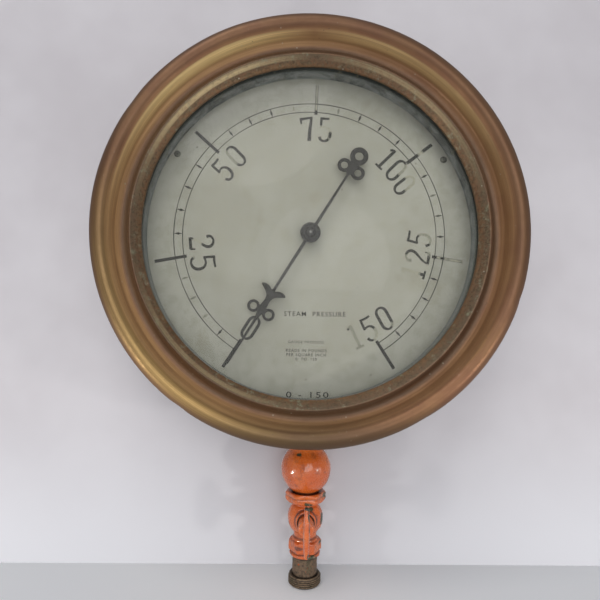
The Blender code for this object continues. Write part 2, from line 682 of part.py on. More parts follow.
# pierced discs, (along, aside, outer radius, hole radius); radii are in mm, unscaled
POINTER_RINGS = [(69.2, 6.6, 4.5, 2.85), (69.2, -6.6, 4.5, 2.85),
                 (-58.4, 6.0, 5.2, 3.0), (-58.4, -6.0, 5.2, 3.0), (-70.2, 0.0, 6.9, 3.45)]
# web between the tail discs, (along, aside)
POINTER_WEB = [(-53.0, 0.0), (-57.5, 4.0), (-66.0, 3.6), (-66.0, -3.6), (-57.5, -4.0)]
# hub, (radius, h)
HUB_PROFILE = [(2.5, 5.2), (2.5, POINTER_FRONT + GAP), (7.6, POINTER_FRONT + GAP), (7.9, 9.4),
               (7.2, 10.6), (3.2, 11.2), (2.2, 11.8)]


def needle_point(along, aside):
    """Face coordinates of a pointer table entry."""
    along, aside = along * POINTER_SCALE, aside * POINTER_SCALE
    sine, cosine = clock(1.0, REST_CLOCK)
    return (along * sine + aside * cosine, along * cosine - aside * sine)


def build_pointer():
    outline = ([needle_point(along, aside) for along, aside in POINTER_EDGE]
               + [needle_point(along, -aside) for along, aside in POINTER_EDGE[::-1]])
    pointer = plate(outline, POINTER_BACK, POINTER_FRONT, "pointer")
    # discs and web stand slightly proud of the blade
    disc_span = (POINTER_BACK - 0.1, POINTER_FRONT + 0.1)
    discs = [face_rod(needle_point(along, aside), *disc_span, outer_r, 18)
             for along, aside, outer_r, _ in POINTER_RINGS]
    centre_disc = face_rod(AXIS, *disc_span, 6.0)
    web = plate([needle_point(*point) for point in POINTER_WEB],
                POINTER_BACK - 0.05, POINTER_FRONT + 0.05)
    pointer = join(pointer, *discs, centre_disc, web)
    holes = []
    for along, aside, _, hole_r in POINTER_RINGS:
        holes += drills([needle_point(along, aside)], POINTER_BACK, POINTER_FRONT, hole_r, 14)
    holes += drills([AXIS], POINTER_BACK, POINTER_FRONT, 2.9, 14)
    dress(cut(pointer, *holes), BLACK)

    hub = turned_at(AXIS, HUB_PROFILE, 18, "pointer_hub")
    dress(cut(hub, face_rod(AXIS, 0, 20, 1.95)), BLACK)


# =============================================================================
# siphon, cock and inlet
# =============================================================================
def arc(centre_z, radius, start, end, steps):
    """Part circle in the (radius, z) plane, angles from the equator, degrees."""
    return [polar((0, centre_z), radius, math.radians(start + (end - start) * i / steps))
            for i in range(steps + 1)]


def latitude(neck_r, ball_r):
    """Degrees from the equator at which a ball narrows to neck_r."""
    return math.degrees(math.acos(neck_r / ball_r))


def build_siphon():
    """Hollow ball with a neck at each end, its inner tube and the union collar."""
    inner_r = BALL_R - BALL_WALL
    foot_z, top_z = 57.2, 111.8
    globe = ([(9.7, foot_z)]
             + arc(BALL_Z, BALL_R, -latitude(9.72, BALL_R), latitude(11.5, BALL_R), 10)
             + [(11.5, top_z), (8.9, top_z)]
             + arc(BALL_Z, inner_r, latitude(8.9, inner_r), -latitude(6.3, inner_r), 6)
             + [(6.3, foot_z)])
    dress(turn_stem(globe, 24, "siphon_globe"), ORANGE)

    dress(turn_stem([(3.2, 58.0), (3.2, 89.5), (2.2, 89.5), (2.2, 57.0), (6.0, 57.0),
                     (6.0, 58.0)], 16, "siphon_tube"), BRONZE)

    collar = hexagon(COLLAR_FLATS, COLLAR_BOTTOM, COLLAR_TOP, chamfer=1.6, name="union_collar")
    bore = stem_rod(42, 70, 10.05, 24)
    seat = stem_rod(59.2, 60.9, 10.0, 28, top_radius=11.7)
    dress(cut(collar, bore, seat), ORANGE)


def build_cock():
    shank_z, neck_r = HEX_BOTTOM + 10.0, 9.6
    profile = ([(0, shank_z), (10.0, shank_z), (10.0, WAIST_Z - 1.4), (WAIST_R, WAIST_Z + 0.4)]
               + arc(COCK_Z, COCK_R, -latitude(WAIST_R + 0.4, COCK_R),
                     latitude(neck_r, COCK_R), 8)
               + [(neck_r, 56.8), (0, 56.8)])
    foot_top = HEX_BOTTOM + 8.0
    foot = [(0, HEX_BOTTOM), (HEX_FOOT_R - 0.8, HEX_BOTTOM), (HEX_FOOT_R, HEX_BOTTOM + 0.8),
            (HEX_FOOT_R, foot_top), (0, foot_top)]
    plug_boss = plug_rod(-14.6, 13.4, 8.0, 24)
    cock = join(turn_stem(profile, 24, "cock_body"),
                hexagon(HEX_FLATS, HEX_BOTTOM + 3.2, HEX_TOP, chamfer=1.2),
                turn_stem(foot, 24), plug_boss)
    waterway = stem_rod(0, 70, WATERWAY_R, 16)
    nipple_bore = stem_rod(0, NIPPLE_TOP + GAP, NIPPLE_R + GAP, 24)
    plug_bore = plug_rod(-20, 20, 6.7, 24, back_radius=5.3)
    dress(cut(cock, waterway, nipple_bore, plug_bore), ORANGE)


# slices of the thumb lever: z from the plug axis, half thickness, front y, back y
LEVER_SLICES = ((18.3, 0.8, -33.6, -31.4), (17.3, 1.7, -35.0, -29.4), (12.5, 2.0, -36.8, -27.2),
                (5.5, 2.4, -38.0, -24.8), (-5.5, 2.4, -38.0, -24.8), (-12.5, 2.0, -36.8, -27.2),
                (-17.3, 1.7, -35.0, -29.4), (-18.3, 0.8, -33.6, -31.4))


def lever_ring(z, half_t, y_front, y_back):
    """One slice of the thumb lever, rounded in plan."""
    turns = [2 * math.pi * i / 12 for i in range(12)]
    middle, half_depth = (y_front + y_back) / 2, (y_back - y_front) / 2
    return [datum_point(half_t * math.cos(turn), middle + half_depth * math.sin(turn), PLUG_Z + z)
            for turn in turns]


def build_plug():
    """Taper plug with its tee lever; the cross hole stands upright, so the cock is open."""
    plug = plug_rod(-13.6, 13.0, 6.17, 24, back_radius=5.24, name="cock_plug")
    lever = loft([lever_ring(*row) for row in LEVER_SLICES], "tool")
    neck = plug_rod(-27.0, -13.4, 5.9, 20, back_radius=6.12)
    stud = plug_rod(12.8, 21.8, 3.2, 16)
    cross_hole = stem_rod(PLUG_Z - 12, PLUG_Z + 12, 3.6, 14)
    dress(cut(join(plug, neck, stud, lever), cross_hole), ORANGE)

    washer_back = 15.2
    # name, front y, back y, radius, sides
    for name, front, back, radius, sides in (
            ("plug_washer", 13.8, washer_back, 7.6, 24),
            ("plug_nut", washer_back + GAP, 20.4, 6.4, 6)):
        blank = plug_rod(front, back, radius, sides, name=name)
        hole = plug_rod(front - OVERSHOOT, back + OVERSHOOT, STUD_HOLE_R, 16)
        dress(cut(blank, hole), BRIGHT_BRASS)


def build_inlet():
    nipple_bottom = RING_BOTTOM + 1.6
    dress(turn_stem([(NIPPLE_R, nipple_bottom), (NIPPLE_R, NIPPLE_TOP),
                     (NIPPLE_BORE_R, NIPPLE_TOP), (NIPPLE_BORE_R, nipple_bottom)],
                    24, "inlet_nipple"), DARK_PIPE)
    ring_top = RING_BOTTOM + RING_HEIGHT
    bore_r = NIPPLE_R + GAP
    dress(turn_stem([(RING_R - 0.6, RING_BOTTOM), (RING_R, RING_BOTTOM + 0.6),
                     (RING_R, ring_top - 0.9), (RING_R - 0.9, ring_top),
                     (bore_r, ring_top), (bore_r, RING_BOTTOM)], 24, "inlet_ring"), DARK_PIPE)


# =============================================================================
# assembly
# =============================================================================
# joint axes and the moving pieces that carry their origin on them
JOINTS = (
    (face_point(*FLEX, TUBE_H), ("tube_tip", "tip_pin")),
    (face_point(*SECTOR, SECTOR_BACK), ("sector_gear", "sector_arbor", "tail_pin")),
    (face_point(*TAIL, LINK_BACK), ("link",)),
    (face_point(*AXIS, 0), ("pointer", "pointer_hub", "center_arbor", "pinion",
                            "hairspring_collet")),
    (datum_point(0, 0, PLUG_Z), ("cock_plug", "plug_washer", "plug_nut")),
)


def set_origins():
    """Move the origins onto the joints without moving the pieces."""
    for point, names in JOINTS:
        for name in names:
            ob = bpy.data.objects[name]
            ob.data.transform(Matrix.Translation(-point))
            ob.location = point


def hang_on_frame():
    """Parent every piece to the empty that puts the case back's centre at the origin."""
    frame = bpy.data.objects.new("gauge_frame", None)
    bpy.context.scene.collection.objects.link(frame)
    frame.location = datum_point(0, CASE_BACK - DIAL_Y, -DIAL_Z)
    for ob in list(bpy.context.scene.objects):
        if ob.type == 'MESH':
            ob.parent = frame


for old in list(bpy.data.objects):
    bpy.data.objects.remove(old, do_unlink=True)

build_case()
build_front()
build_dial()
build_socket()
build_tube()
build_tube_tip()
build_sector()
build_pinion()
build_arbors()
build_movement_plates()
build_pillars()
build_link()
build_hairspring()
build_pointer()
build_siphon()
build_cock()
build_plug()
build_inlet()
set_origins()
hang_on_frame()
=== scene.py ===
"""Looks for a dial steam gauge standing on a ball siphon and a plug cock.

Lengths are in millimetres unless a name says otherwise.  The gauge axis is the
Y axis and the dial looks towards -Y, so a height in front of the dial is
y = FACE - height.  The stem is vertical, on x = 0, y = STEM_Y, and its heights
are counted up from BASE.  The plug of the cock turns about a line parallel to Y.
"""
import math

import bmesh
import bpy
import numpy as np
from mathutils import Matrix, Vector, noise


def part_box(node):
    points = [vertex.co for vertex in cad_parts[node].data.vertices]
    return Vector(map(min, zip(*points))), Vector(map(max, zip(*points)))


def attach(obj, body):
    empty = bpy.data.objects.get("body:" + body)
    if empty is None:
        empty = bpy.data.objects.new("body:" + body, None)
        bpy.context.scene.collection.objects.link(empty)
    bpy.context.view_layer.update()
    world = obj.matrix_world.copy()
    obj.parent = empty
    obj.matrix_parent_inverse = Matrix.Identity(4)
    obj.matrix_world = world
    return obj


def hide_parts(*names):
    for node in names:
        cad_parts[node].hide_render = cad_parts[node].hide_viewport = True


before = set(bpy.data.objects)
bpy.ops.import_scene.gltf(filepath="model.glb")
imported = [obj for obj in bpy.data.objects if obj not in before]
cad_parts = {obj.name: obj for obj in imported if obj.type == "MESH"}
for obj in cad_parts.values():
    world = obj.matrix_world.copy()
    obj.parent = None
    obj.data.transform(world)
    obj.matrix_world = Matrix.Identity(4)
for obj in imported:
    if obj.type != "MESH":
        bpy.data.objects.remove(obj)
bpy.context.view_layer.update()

MM = 0.001


def cad(node):
    """Low and high corner of a CAD piece."""
    low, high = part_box(node)
    return np.array(low) * 1000.0, np.array(high) * 1000.0


FACE = float(cad("dial_plate")[0][1])
STEM_Y = float(cad("inlet_ring")[0][1] + cad("inlet_ring")[1][1]) / 2
BASE = -264.0                            # drawing datum on the stem axis
FOOT = cad("inlet_ring")[0][2]           # bottom of the object
BACK_Y = cad("case_shell")[1][1]
PLUG_Z = 40.5                            # plug axis above BASE


def face_span(node):
    """Back and front height of a CAD piece, off the dial."""
    low, high = cad(node)
    return FACE - high[1], FACE - low[1]


def plug_span(node):
    """Front and back end of a CAD piece along the plug axis, off the stem axis."""
    low, high = cad(node)
    return low[1] - STEM_Y, high[1] - STEM_Y


def stem_span(node):
    """Bottom and top of a CAD piece above BASE."""
    low, high = cad(node)
    return low[2] - BASE, high[2] - BASE


# =============================================================================
# shading tools
# =============================================================================
def rgb(*channels):
    """sRGB 0-255 to a linear colour."""
    parts = [c / 255.0 for c in channels]
    return (*(c / 12.92 if c <= 0.04045 else ((c + 0.055) / 1.055) ** 2.4 for c in parts), 1.0)


class Wire:
    """A node output; arithmetic on it adds math nodes."""

    def __init__(self, graph, socket):
        self.graph, self.socket = graph, socket

    def __add__(self, other):
        return self.graph.math('ADD', self, other)

    def __sub__(self, other):
        return self.graph.math('SUBTRACT', self, other)

    def __rsub__(self, other):
        return self.graph.math('SUBTRACT', other, self)

    def __mul__(self, other):
        return self.graph.math('MULTIPLY', self, other)

    def clamped(self):
        """Hold the math node behind this wire to 0..1."""
        self.socket.node.use_clamp = True
        return self

    def ease(self, start, end, low=0.0, high=1.0, interpolation='SMOOTHSTEP'):
        """Go from low where the value is start to high where it is end."""
        return self.graph.node("ShaderNodeMapRange", {
            "Value": self, "From Min": start, "From Max": end, "To Min": low, "To Max": high},
            interpolation_type=interpolation)

    def band(self, one_side, other_side):
        """Product of two eases, 1 between them; each side is (where 0, where 1)."""
        return self.ease(*one_side) * self.ease(*other_side)


class Graph:
    """Builds nodes in a node tree."""

    def __init__(self, tree):
        self.tree = tree

    def put(self, socket, value):
        if isinstance(value, Wire):
            self.tree.links.new(value.socket, socket)
        else:
            socket.default_value = value

    def node(self, kind, inputs=None, output=0, **settings):
        node = self.tree.nodes.new(kind)
        for key, value in settings.items():
            setattr(node, key, value)
        for key, value in (inputs or {}).items():
            self.put(node.inputs[key], value)
        return Wire(self, node.outputs[output])

    def math(self, operation, *values):
        return self.node("ShaderNodeMath", dict(enumerate(values)), operation=operation)

    def maximum(self, first, second):
        return self.math('MAXIMUM', first, second)

    def split(self, vector):
        x = self.node("ShaderNodeSeparateXYZ", {0: vector})
        return [Wire(self, socket) for socket in x.socket.node.outputs]

    def ramp(self, factor, stops):
        """Colour ramp; stops are (position, colour)."""
        wire = self.node("ShaderNodeValToRGB", {0: factor})
        ramp = wire.socket.node.color_ramp
        while len(ramp.elements) < len(stops):
            ramp.elements.new(0.5)
        for element, (position, colour) in zip(ramp.elements, stops):
            element.position = position
            element.color = colour
        return wire


class Look(Graph):
    """A material whose textures work in object space, in millimetres."""

    def __init__(self, name):
        self.material = bpy.data.materials.new(name)
        self.material.use_nodes = True
        super().__init__(self.material.node_tree)
        self.shader = self.tree.nodes["Principled BSDF"]
        self.surface = self.tree.nodes["Material Output"].inputs["Surface"]
        self.point = self.node("ShaderNodeVectorMath", {
            0: self.node("ShaderNodeTexCoord", output="Object"), "Scale": 1000.0},
            operation='SCALE')

    def vector(self, x, y, z):
        return self.node("ShaderNodeCombineXYZ", {0: x, 1: y, 2: z})

    def moved(self, operation, amounts):
        return self.node("ShaderNodeVectorMath", {0: self.point, 1: amounts}, operation=operation)

    def xyz(self):
        return self.split(self.point)

    def radial(self):
        """Distance from the gauge axis, and the x, y, z it was worked out from."""
        x, y, z = self.xyz()
        return self.math('SQRT', x * x + z * z), (x, y, z)

    def noise(self, scale, detail=4.0, rough=0.55, offset=None, at=None, distort=0.0):
        place = self.moved('ADD', offset) if offset else (at or self.point)
        return self.node("ShaderNodeTexNoise", {
            "Vector": place, "Scale": scale, "Detail": detail, "Roughness": rough,
            "Distortion": distort}, "Fac")

    def cells(self, scale, offset=None):
        place = self.moved('ADD', offset) if offset else self.point
        return self.node("ShaderNodeTexVoronoi", {"Vector": place, "Scale": scale}, "Distance")

    def attribute(self, name):
        return self.node("ShaderNodeAttribute", output="Fac", attribute_name=name)

    def mix(self, factor, first, second):
        return self.node("ShaderNodeMix", {"Factor": factor, 6: first, 7: second}, 2,
                         data_type='RGBA')

    def base(self, first, second, factor):
        """Start the colour as a mix of two."""
        self.colour = self.mix(factor, first, second)

    def coat(self, colour, amount):
        """Lay a colour over what is there."""
        self.colour = self.mix(amount, self.colour, colour)

    def bump(self, height, strength, depth, normal=None):
        inputs = {"Strength": strength, "Distance": depth * MM, "Height": height}
        if normal:
            inputs["Normal"] = normal
        return self.node("ShaderNodeBump", inputs)

    def finish(self, rough, metal, normal=None, **more):
        inputs = {"Base Color": self.colour, "Roughness": rough, "Metallic": metal}
        if normal:
            inputs["Normal"] = normal
        inputs.update((key.replace("_", " "), value) for key, value in more.items())
        for key, value in inputs.items():
            self.put(self.shader.inputs[key], value)
        return self.material


# =============================================================================
# materials: pairs given to ease and band are millimetres or texture values
# =============================================================================
def spun_brass():
    look = Look("aged_spun_brass")
    coat = look.coat
    radius, (across, y, upward) = look.radial()
    angle = look.math('ARCTAN2', across, upward)     # clockwise from the top
    x, _, z = look.xyz()
    # spun lines run round the ring: they hardly vary with the angle
    lines = look.noise(scale=1.0, detail=3.0, rough=0.6,
                       at=look.vector(radius * 1.9, y * 1.9, angle * 1.2))
    streak = look.noise(scale=1.0, distort=0.6,
                        at=look.vector(radius * 0.20, y * 0.20, angle * 2.4))
    cloud = look.noise(scale=0.018, detail=5.0, distort=0.8)
    fine = look.noise(scale=0.35, detail=6.0, rough=0.65)
    look.base(rgb(130, 90, 62), rgb(147, 107, 73), (cloud * 0.6 + streak * 0.4).ease(0.36, 0.62))
    red = look.noise(scale=0.03, detail=3.0, rough=0.5, offset=(31, 9, 4)).ease(0.48, 0.66)
    coat(rgb(126, 82, 62), red * 0.45)

    # golden wear along the crown of the roll, with a painted highlight that grows down the lower
    # left and towards the bottom
    lower_left_highlight = (x * -0.7 + z * -0.45).ease(20.0, 125.0)
    crest = radius.band((143.0, 148.0), (158.6, 151.0))
    wear = (crest * (streak * 0.55 + lower_left_highlight * 0.35).ease(0.30, 0.62)).clamped()
    coat(rgb(188, 157, 97), wear * z.ease(50.0, -50.0, low=0.22, high=0.75))

    # the four diagonals, split into the upper and the lower pair; they place painted highlights and
    # painted shade
    diagonal = look.math('ABSOLUTE', look.math('SINE', angle * 2.0)) * 1.4
    upper = (diagonal * look.maximum(look.math('COSINE', angle), 0.0)).clamped()
    lower = (diagonal * look.maximum(look.math('COSINE', angle) * -1.0, 0.0)).clamped()

    # painted light: the inner wall of the roll is painted pale, most on the left; the outer slope
    # is painted darker as shade
    wall = radius.band((139.6, 142.4), (146.6, 144.6))
    coat(rgb(206, 166, 116), wall * (x.ease(90.0, -70.0, low=0.22, high=0.80)
                                     * streak.ease(0.3, 0.6, low=0.75, high=1.0)))
    # painted shade on the outer slope, kept off the lower diagonals
    coat(rgb(76, 55, 40), radius.ease(145.2, 148.4) * (1.0 - lower).clamped() * 0.52)
    # painted highlight along the crown of the roll on the upper diagonals, strongest on the left
    crown_highlight = (radius.band((143.2, 144.0), (145.8, 145.0))
             * (upper * x.ease(90.0, -50.0, low=0.45, high=1.0)))
    coat(rgb(255, 224, 158), crown_highlight * 0.9)
    edge = radius.ease(157.6, 158.5) * fine.ease(0.35, 0.6, low=0.25, high=0.9)
    coat(rgb(168, 130, 88), edge)

    # dull cove, mottled lip with a painted highlight line, and painted light on the groove, paler
    # on the left
    cove = radius.band((142.0, 139.0), (126.0, 131.0))
    coat(rgb(108, 90, 74), cove * streak.ease(0.3, 0.6, low=0.45, high=0.85))
    lip_mottle = look.noise(scale=0.55, detail=6.0, rough=0.75).ease(0.38, 0.62)
    coat(look.mix(lip_mottle, rgb(66, 59, 46), rgb(112, 105, 81)),
         radius.ease(133.5, 131.0) * fine.ease(0.35, 0.62, low=0.15, high=0.75))
    # painted light: the cove trough is painted paler, more on the left
    groove = radius.band((132.8, 133.8), (139.5, 137.0))
    coat(rgb(150, 126, 96), groove * x.ease(90.0, -90.0, low=0.1, high=0.4))
    # painted highlight along the lip at the upper diagonals and the lower left
    lip_highlight_places = look.maximum(upper, lower * x.ease(20.0, -50.0, high=0.5))
    lip_highlight = (radius.band((128.6, 129.6), (132.0, 131.0))
              * (lip_highlight_places * fine.ease(0.3, 0.55, low=0.5, high=1.0)))
    coat(rgb(222, 200, 154), lip_highlight * x.ease(40.0, -60.0, low=0.35, high=0.75))

    # shaded underside, then pale specks, dark pits and green tarnish
    coat(rgb(88, 71, 48), (z * -1.0 + radius * 0.55).ease(205.0, 238.0) * 0.7)
    specks = (look.cells(scale=0.16).ease(0.13, 0.05)
              * look.noise(scale=0.045, detail=2.0).ease(0.50, 0.60))
    coat(rgb(198, 194, 176), specks * radius.ease(150.0, 141.0, low=0.12, high=0.8) * 0.8)
    pits = (look.cells(scale=0.28, offset=(5, 3, 8)).ease(0.16, 0.05)
            * look.noise(scale=0.05, detail=2.0, rough=0.5, offset=(7, 0, 3)).ease(0.52, 0.62))
    coat(rgb(62, 50, 40), pits * 0.65)
    green = (radius.ease(134.5, 130.5)
             * look.noise(scale=0.16, detail=6.0, rough=0.75).ease(0.55, 0.66))
    coat(rgb(140, 146, 120), green * 0.6)
    coat(rgb(92, 68, 50), lines.ease(0.25, 0.75, high=0.42))

    rough = (fine * 0.5 + streak * 0.5).ease(0.3, 0.7, low=0.36, high=0.54) + cove * 0.10
    dirt = look.maximum(specks, look.maximum(green, pits))
    waves = look.bump(look.noise(scale=0.022, detail=2.0, rough=0.5,
                                 at=look.vector(angle * 130.0, radius * 1.0, y)),
                      strength=0.5, depth=2.4)
    return look.finish(rough=rough - wear * 0.05, metal=0.58 - dirt * 0.35 - wall * 0.25,
                       normal=look.bump(lines * 0.8 + fine * 0.5, strength=0.3, depth=0.16,
                                        normal=waves))


def window_glass():
    look = Look("window_glass")
    look.tree.nodes.remove(look.shader)
    clear = look.node("ShaderNodeBsdfTransparent", {0: (0.965, 0.965, 0.95, 1)})
    smear = look.noise(scale=0.02, detail=5.0, rough=0.6, distort=1.0)
    gloss = look.node("ShaderNodeBsdfGlossy", {
        "Roughness": smear.ease(0.35, 0.7, low=0.03, high=0.16), "Color": (1, 1, 1, 1)})
    grazing = look.node("ShaderNodeLayerWeight", {"Blend": 0.22}, "Fresnel")
    dust = look.noise(scale=0.4, detail=6.0, rough=0.7).ease(0.55, 0.75) * 0.004
    amount = grazing.ease(0.0, 1.0, low=0.004, high=0.5, interpolation='LINEAR') + dust
    look.put(look.surface, look.node("ShaderNodeMixShader", {0: amount, 1: clear, 2: gloss}))
    return look.material


def silvered_dial():
    look = Look("silvered_dial")
    radius, (_, y, _) = look.radial()
    x, _, z = look.xyz()
    cloud = look.noise(scale=0.012, detail=5.0, distort=0.6)
    mottle = look.noise(scale=0.12, detail=6.0, rough=0.65)
    grain = look.noise(scale=1.6, rough=0.7)
    brushed = look.noise(scale=1.0, detail=3.0, rough=0.6, at=look.vector(x * 0.12, y, z * 2.2))
    look.base(rgb(163, 162, 150), rgb(175, 175, 165), cloud.ease(0.35, 0.65))
    look.coat(rgb(166, 164, 148), mottle.ease(0.42, 0.68) * 0.4)
    look.coat(rgb(202, 201, 192), grain.ease(0.35, 0.7) * 0.22)
    look.coat(rgb(140, 142, 134), brushed * 0.10)
    # painted light: towards the rim the dial is painted lighter, along a ragged radius
    ragged_radius = radius + (look.noise(scale=0.05, rough=0.6) - 0.5) * 16.0
    look.coat(look.mix(mottle.ease(0.4, 0.65), rgb(176, 176, 166), rgb(164, 164, 152)),
              ragged_radius.ease(72.0, 116.0) * 0.85)
    stain = look.noise(scale=0.03, detail=5.0, rough=0.62, offset=(55, 0, 18)).ease(0.56, 0.70)
    look.coat(rgb(150, 146, 124), stain * 0.30)
    look.coat(rgb(92, 92, 84), look.cells(scale=0.045, offset=(3, 0, 40)).ease(0.045, 0.018) * 0.75)
    look.coat(rgb(118, 117, 106), look.cells(scale=0.13).ease(0.055, 0.02) * 0.4)
    # painted shade: the dial is painted darker round the centre
    look.coat(rgb(148, 150, 140), radius.ease(20.0, 8.0) * 0.25)
    return look.finish(rough=mottle.ease(0.3, 0.7, low=0.50, high=0.62), metal=0.12,
                       normal=look.bump(grain * 0.5 + brushed * 0.6, strength=0.18, depth=0.05))


def dial_ink():
    """Filled engraving; the point attribute 'wear' says how far the filling is gone."""
    look = Look("dial_black")
    gone = (look.attribute("wear")
            + (look.noise(scale=0.75, detail=5.0, rough=0.7) - 0.5) * 1.0)
    look.base(rgb(30, 30, 27), rgb(56, 56, 50), look.noise(scale=1.2, rough=0.7))
    look.coat(rgb(134, 135, 122), gone.ease(0.32, 0.62))
    look.coat(rgb(171, 170, 152), gone.ease(0.66, 0.92))
    return look.finish(rough=0.55, metal=0.0,
                       normal=look.bump(look.noise(scale=2.0), strength=0.3, depth=0.05))


def pointer_black():
    look = Look("pointer_black")
    fine = look.noise(scale=0.5, detail=6.0, rough=0.7)
    look.base(rgb(34, 33, 31), rgb(58, 56, 50), fine.ease(0.4, 0.7))
    rubbed = look.noise(scale=0.9, detail=5.0, rough=0.75, offset=(9, 9, 9)).ease(0.58, 0.72)
    look.coat(rgb(98, 88, 72), rubbed * 0.6)
    return look.finish(rough=fine.ease(0.3, 0.7, low=0.42, high=0.6), metal=0.1,
                       normal=look.bump(fine, strength=0.5, depth=0.15))


def orange_paint():
    """Thick paint; 'groove' darkens it with painted shade and grime in hollows and joints, 'chip'
    raises the chance of a chip.
    """
    look = Look("orange_paint")
    lump = look.noise(scale=0.10, distort=0.5)
    fine = look.noise(scale=0.8, detail=6.0, rough=0.65)
    cloud = look.noise(scale=0.05, rough=0.6)
    look.base(rgb(206, 94, 36), rgb(224, 114, 46), cloud.ease(0.35, 0.65))
    look.coat(rgb(190, 84, 36), fine.ease(0.5, 0.75) * 0.35)
    grime = look.noise(scale=0.16, detail=6.0, rough=0.7, offset=(20, 4, 9)).ease(0.50, 0.68)
    look.coat(rgb(124, 66, 42), grime * 0.55)
    # painted shade with grime where parts meet and in hollows
    hollow_shade_and_grime = look.attribute("groove")
    look.coat(rgb(70, 34, 26), hollow_shade_and_grime * fine.ease(0.25, 0.6, low=0.6, high=1.0))
    ragged = (look.attribute("chip")
              + (look.noise(scale=0.28, detail=6.0, rough=0.72) - 0.5) * 1.3)
    tiny = look.noise(scale=0.30, detail=5.0, rough=0.62, offset=(3, 30, 12)).ease(0.685, 0.72)
    chip = look.maximum(ragged.ease(0.46, 0.54), tiny)
    look.coat(look.ramp(look.noise(scale=0.22, detail=5.0, rough=0.6, offset=(8, 2, 1)), [
        (0.38, rgb(34, 30, 26)), (0.47, rgb(70, 78, 44)), (0.55, rgb(58, 44, 32)),
        (0.63, rgb(150, 128, 92)), (0.74, rgb(40, 36, 34))]), chip)
    rough = fine.ease(0.3, 0.7, low=0.20, high=0.34) + look.maximum(chip, hollow_shade_and_grime) * 0.22
    height = lump * 1.0 + fine * 0.14 - chip * 0.22
    return look.finish(rough=rough, metal=0.0,
                       normal=look.bump(height, strength=0.55, depth=0.9),
                       Specular_IOR_Level=0.5, Coat_Weight=0.7, Coat_Roughness=0.07)


def dark_pipe():
    """Dark pipe metal; 'groove' darkens it with painted shade and grime at joins and in thread
    roots, and 'crest' brightens it.
    """
    look = Look("dark_pipe")
    fine = look.noise(scale=0.5, detail=6.0, rough=0.7)
    patches = look.noise(scale=0.12, rough=0.6)
    look.colour = look.ramp(fine, [
        (0.30, rgb(54, 44, 36)), (0.46, rgb(104, 88, 72)), (0.58, rgb(130, 108, 86)),
        (0.72, rgb(80, 60, 46))])
    look.coat(rgb(84, 84, 60), patches.ease(0.5, 0.68) * 0.55)
    drips = look.noise(scale=0.35, detail=5.0, rough=0.7, offset=(4, 7, 2)).ease(0.60, 0.68)
    look.coat(rgb(178, 84, 46), drips * look.xyz()[2].ease(BASE - 4.0, BASE + 4.5))
    # painted shade with grime at joins and thread roots
    look.coat(rgb(34, 28, 25), look.attribute("groove") * 0.75)
    look.coat(rgb(156, 136, 106),
              look.attribute("crest") * fine.ease(0.4, 0.65, low=0.1, high=0.65))
    return look.finish(rough=fine.ease(0.3, 0.7, low=0.38, high=0.62), metal=0.55,
                       normal=look.bump(fine, strength=0.7, depth=0.30))


def black_iron():
    look = Look("black_japanned_iron")
    fine = look.noise(scale=0.45, detail=6.0, rough=0.7)
    cloud = look.noise(scale=0.02, detail=5.0, rough=0.6)
    look.base(rgb(38, 37, 36), rgb(52, 49, 46), cloud.ease(0.35, 0.65))
    brown = look.noise(scale=0.06, detail=6.0, rough=0.72).ease(0.57, 0.68)
    look.coat(rgb(96, 66, 46), brown * 0.8)
    look.coat(rgb(120, 112, 100), look.cells(scale=0.22).ease(0.12, 0.04) * 0.5)
    return look.finish(rough=fine.ease(0.3, 0.7, low=0.36, high=0.55), metal=0.25,
                       normal=look.bump(fine + look.noise(scale=0.12) * 1.5,
                                        strength=0.5, depth=0.35))


def spacer_paint():
    """Grey paint, with painted shade towards the window and in patches that grow towards the top.
    """
    look = Look("spacer_paint")
    fine = look.noise(scale=0.3, detail=6.0, rough=0.7)
    look.base(rgb(122, 130, 132), rgb(146, 150, 148), fine.ease(0.35, 0.65))
    _, y, z = look.xyz()
    patches = look.noise(scale=0.06, detail=5.0, rough=0.7, offset=(8, 0, 1)).ease(0.42, 0.62)
    # painted shade: dark near the window, and dark patches stronger towards the top
    painted_window_shade = look.maximum((FACE - y).ease(8.0, 13.5), patches * z.ease(-60.0, 60.0, high=0.75))
    look.coat(look.mix(fine, rgb(26, 32, 32), rgb(46, 54, 52)), painted_window_shade)
    dirt = look.noise(scale=0.12, detail=5.0, rough=0.7).ease(0.56, 0.66)
    look.coat(rgb(116, 112, 96), dirt * 0.7)
    return look.finish(rough=0.5, metal=0.0, normal=look.bump(fine, strength=0.5, depth=0.12))


def seal_rubber():
    look = Look("seal")
    fine = look.noise(scale=0.7, detail=6.0, rough=0.7)
    look.base(rgb(30, 30, 30), rgb(58, 56, 52), fine.ease(0.35, 0.7))
    return look.finish(rough=fine.ease(0.3, 0.7, low=0.6, high=0.8), metal=0.0,
                       normal=look.bump(fine, strength=0.5, depth=0.12))


def plain_metal(name, first, second, dirt, rough=(0.28, 0.45), metal=1.0):
    look = Look(name)
    fine = look.noise(scale=0.6, detail=6.0, rough=0.7)
    cloud = look.noise(scale=0.06, rough=0.6)
    grain = look.noise(scale=1.0, detail=3.0, rough=0.6, at=look.moved('MULTIPLY', (0.3, 3.0, 3.0)))
    look.base(first, second, cloud.ease(0.35, 0.65))
    look.coat(dirt, fine.ease(0.52, 0.72) * 0.7)
    return look.finish(rough=(fine * 0.6 + grain * 0.4).ease(0.3, 0.7, *rough), metal=metal,
                       normal=look.bump(fine + grain, strength=0.3, depth=0.08))


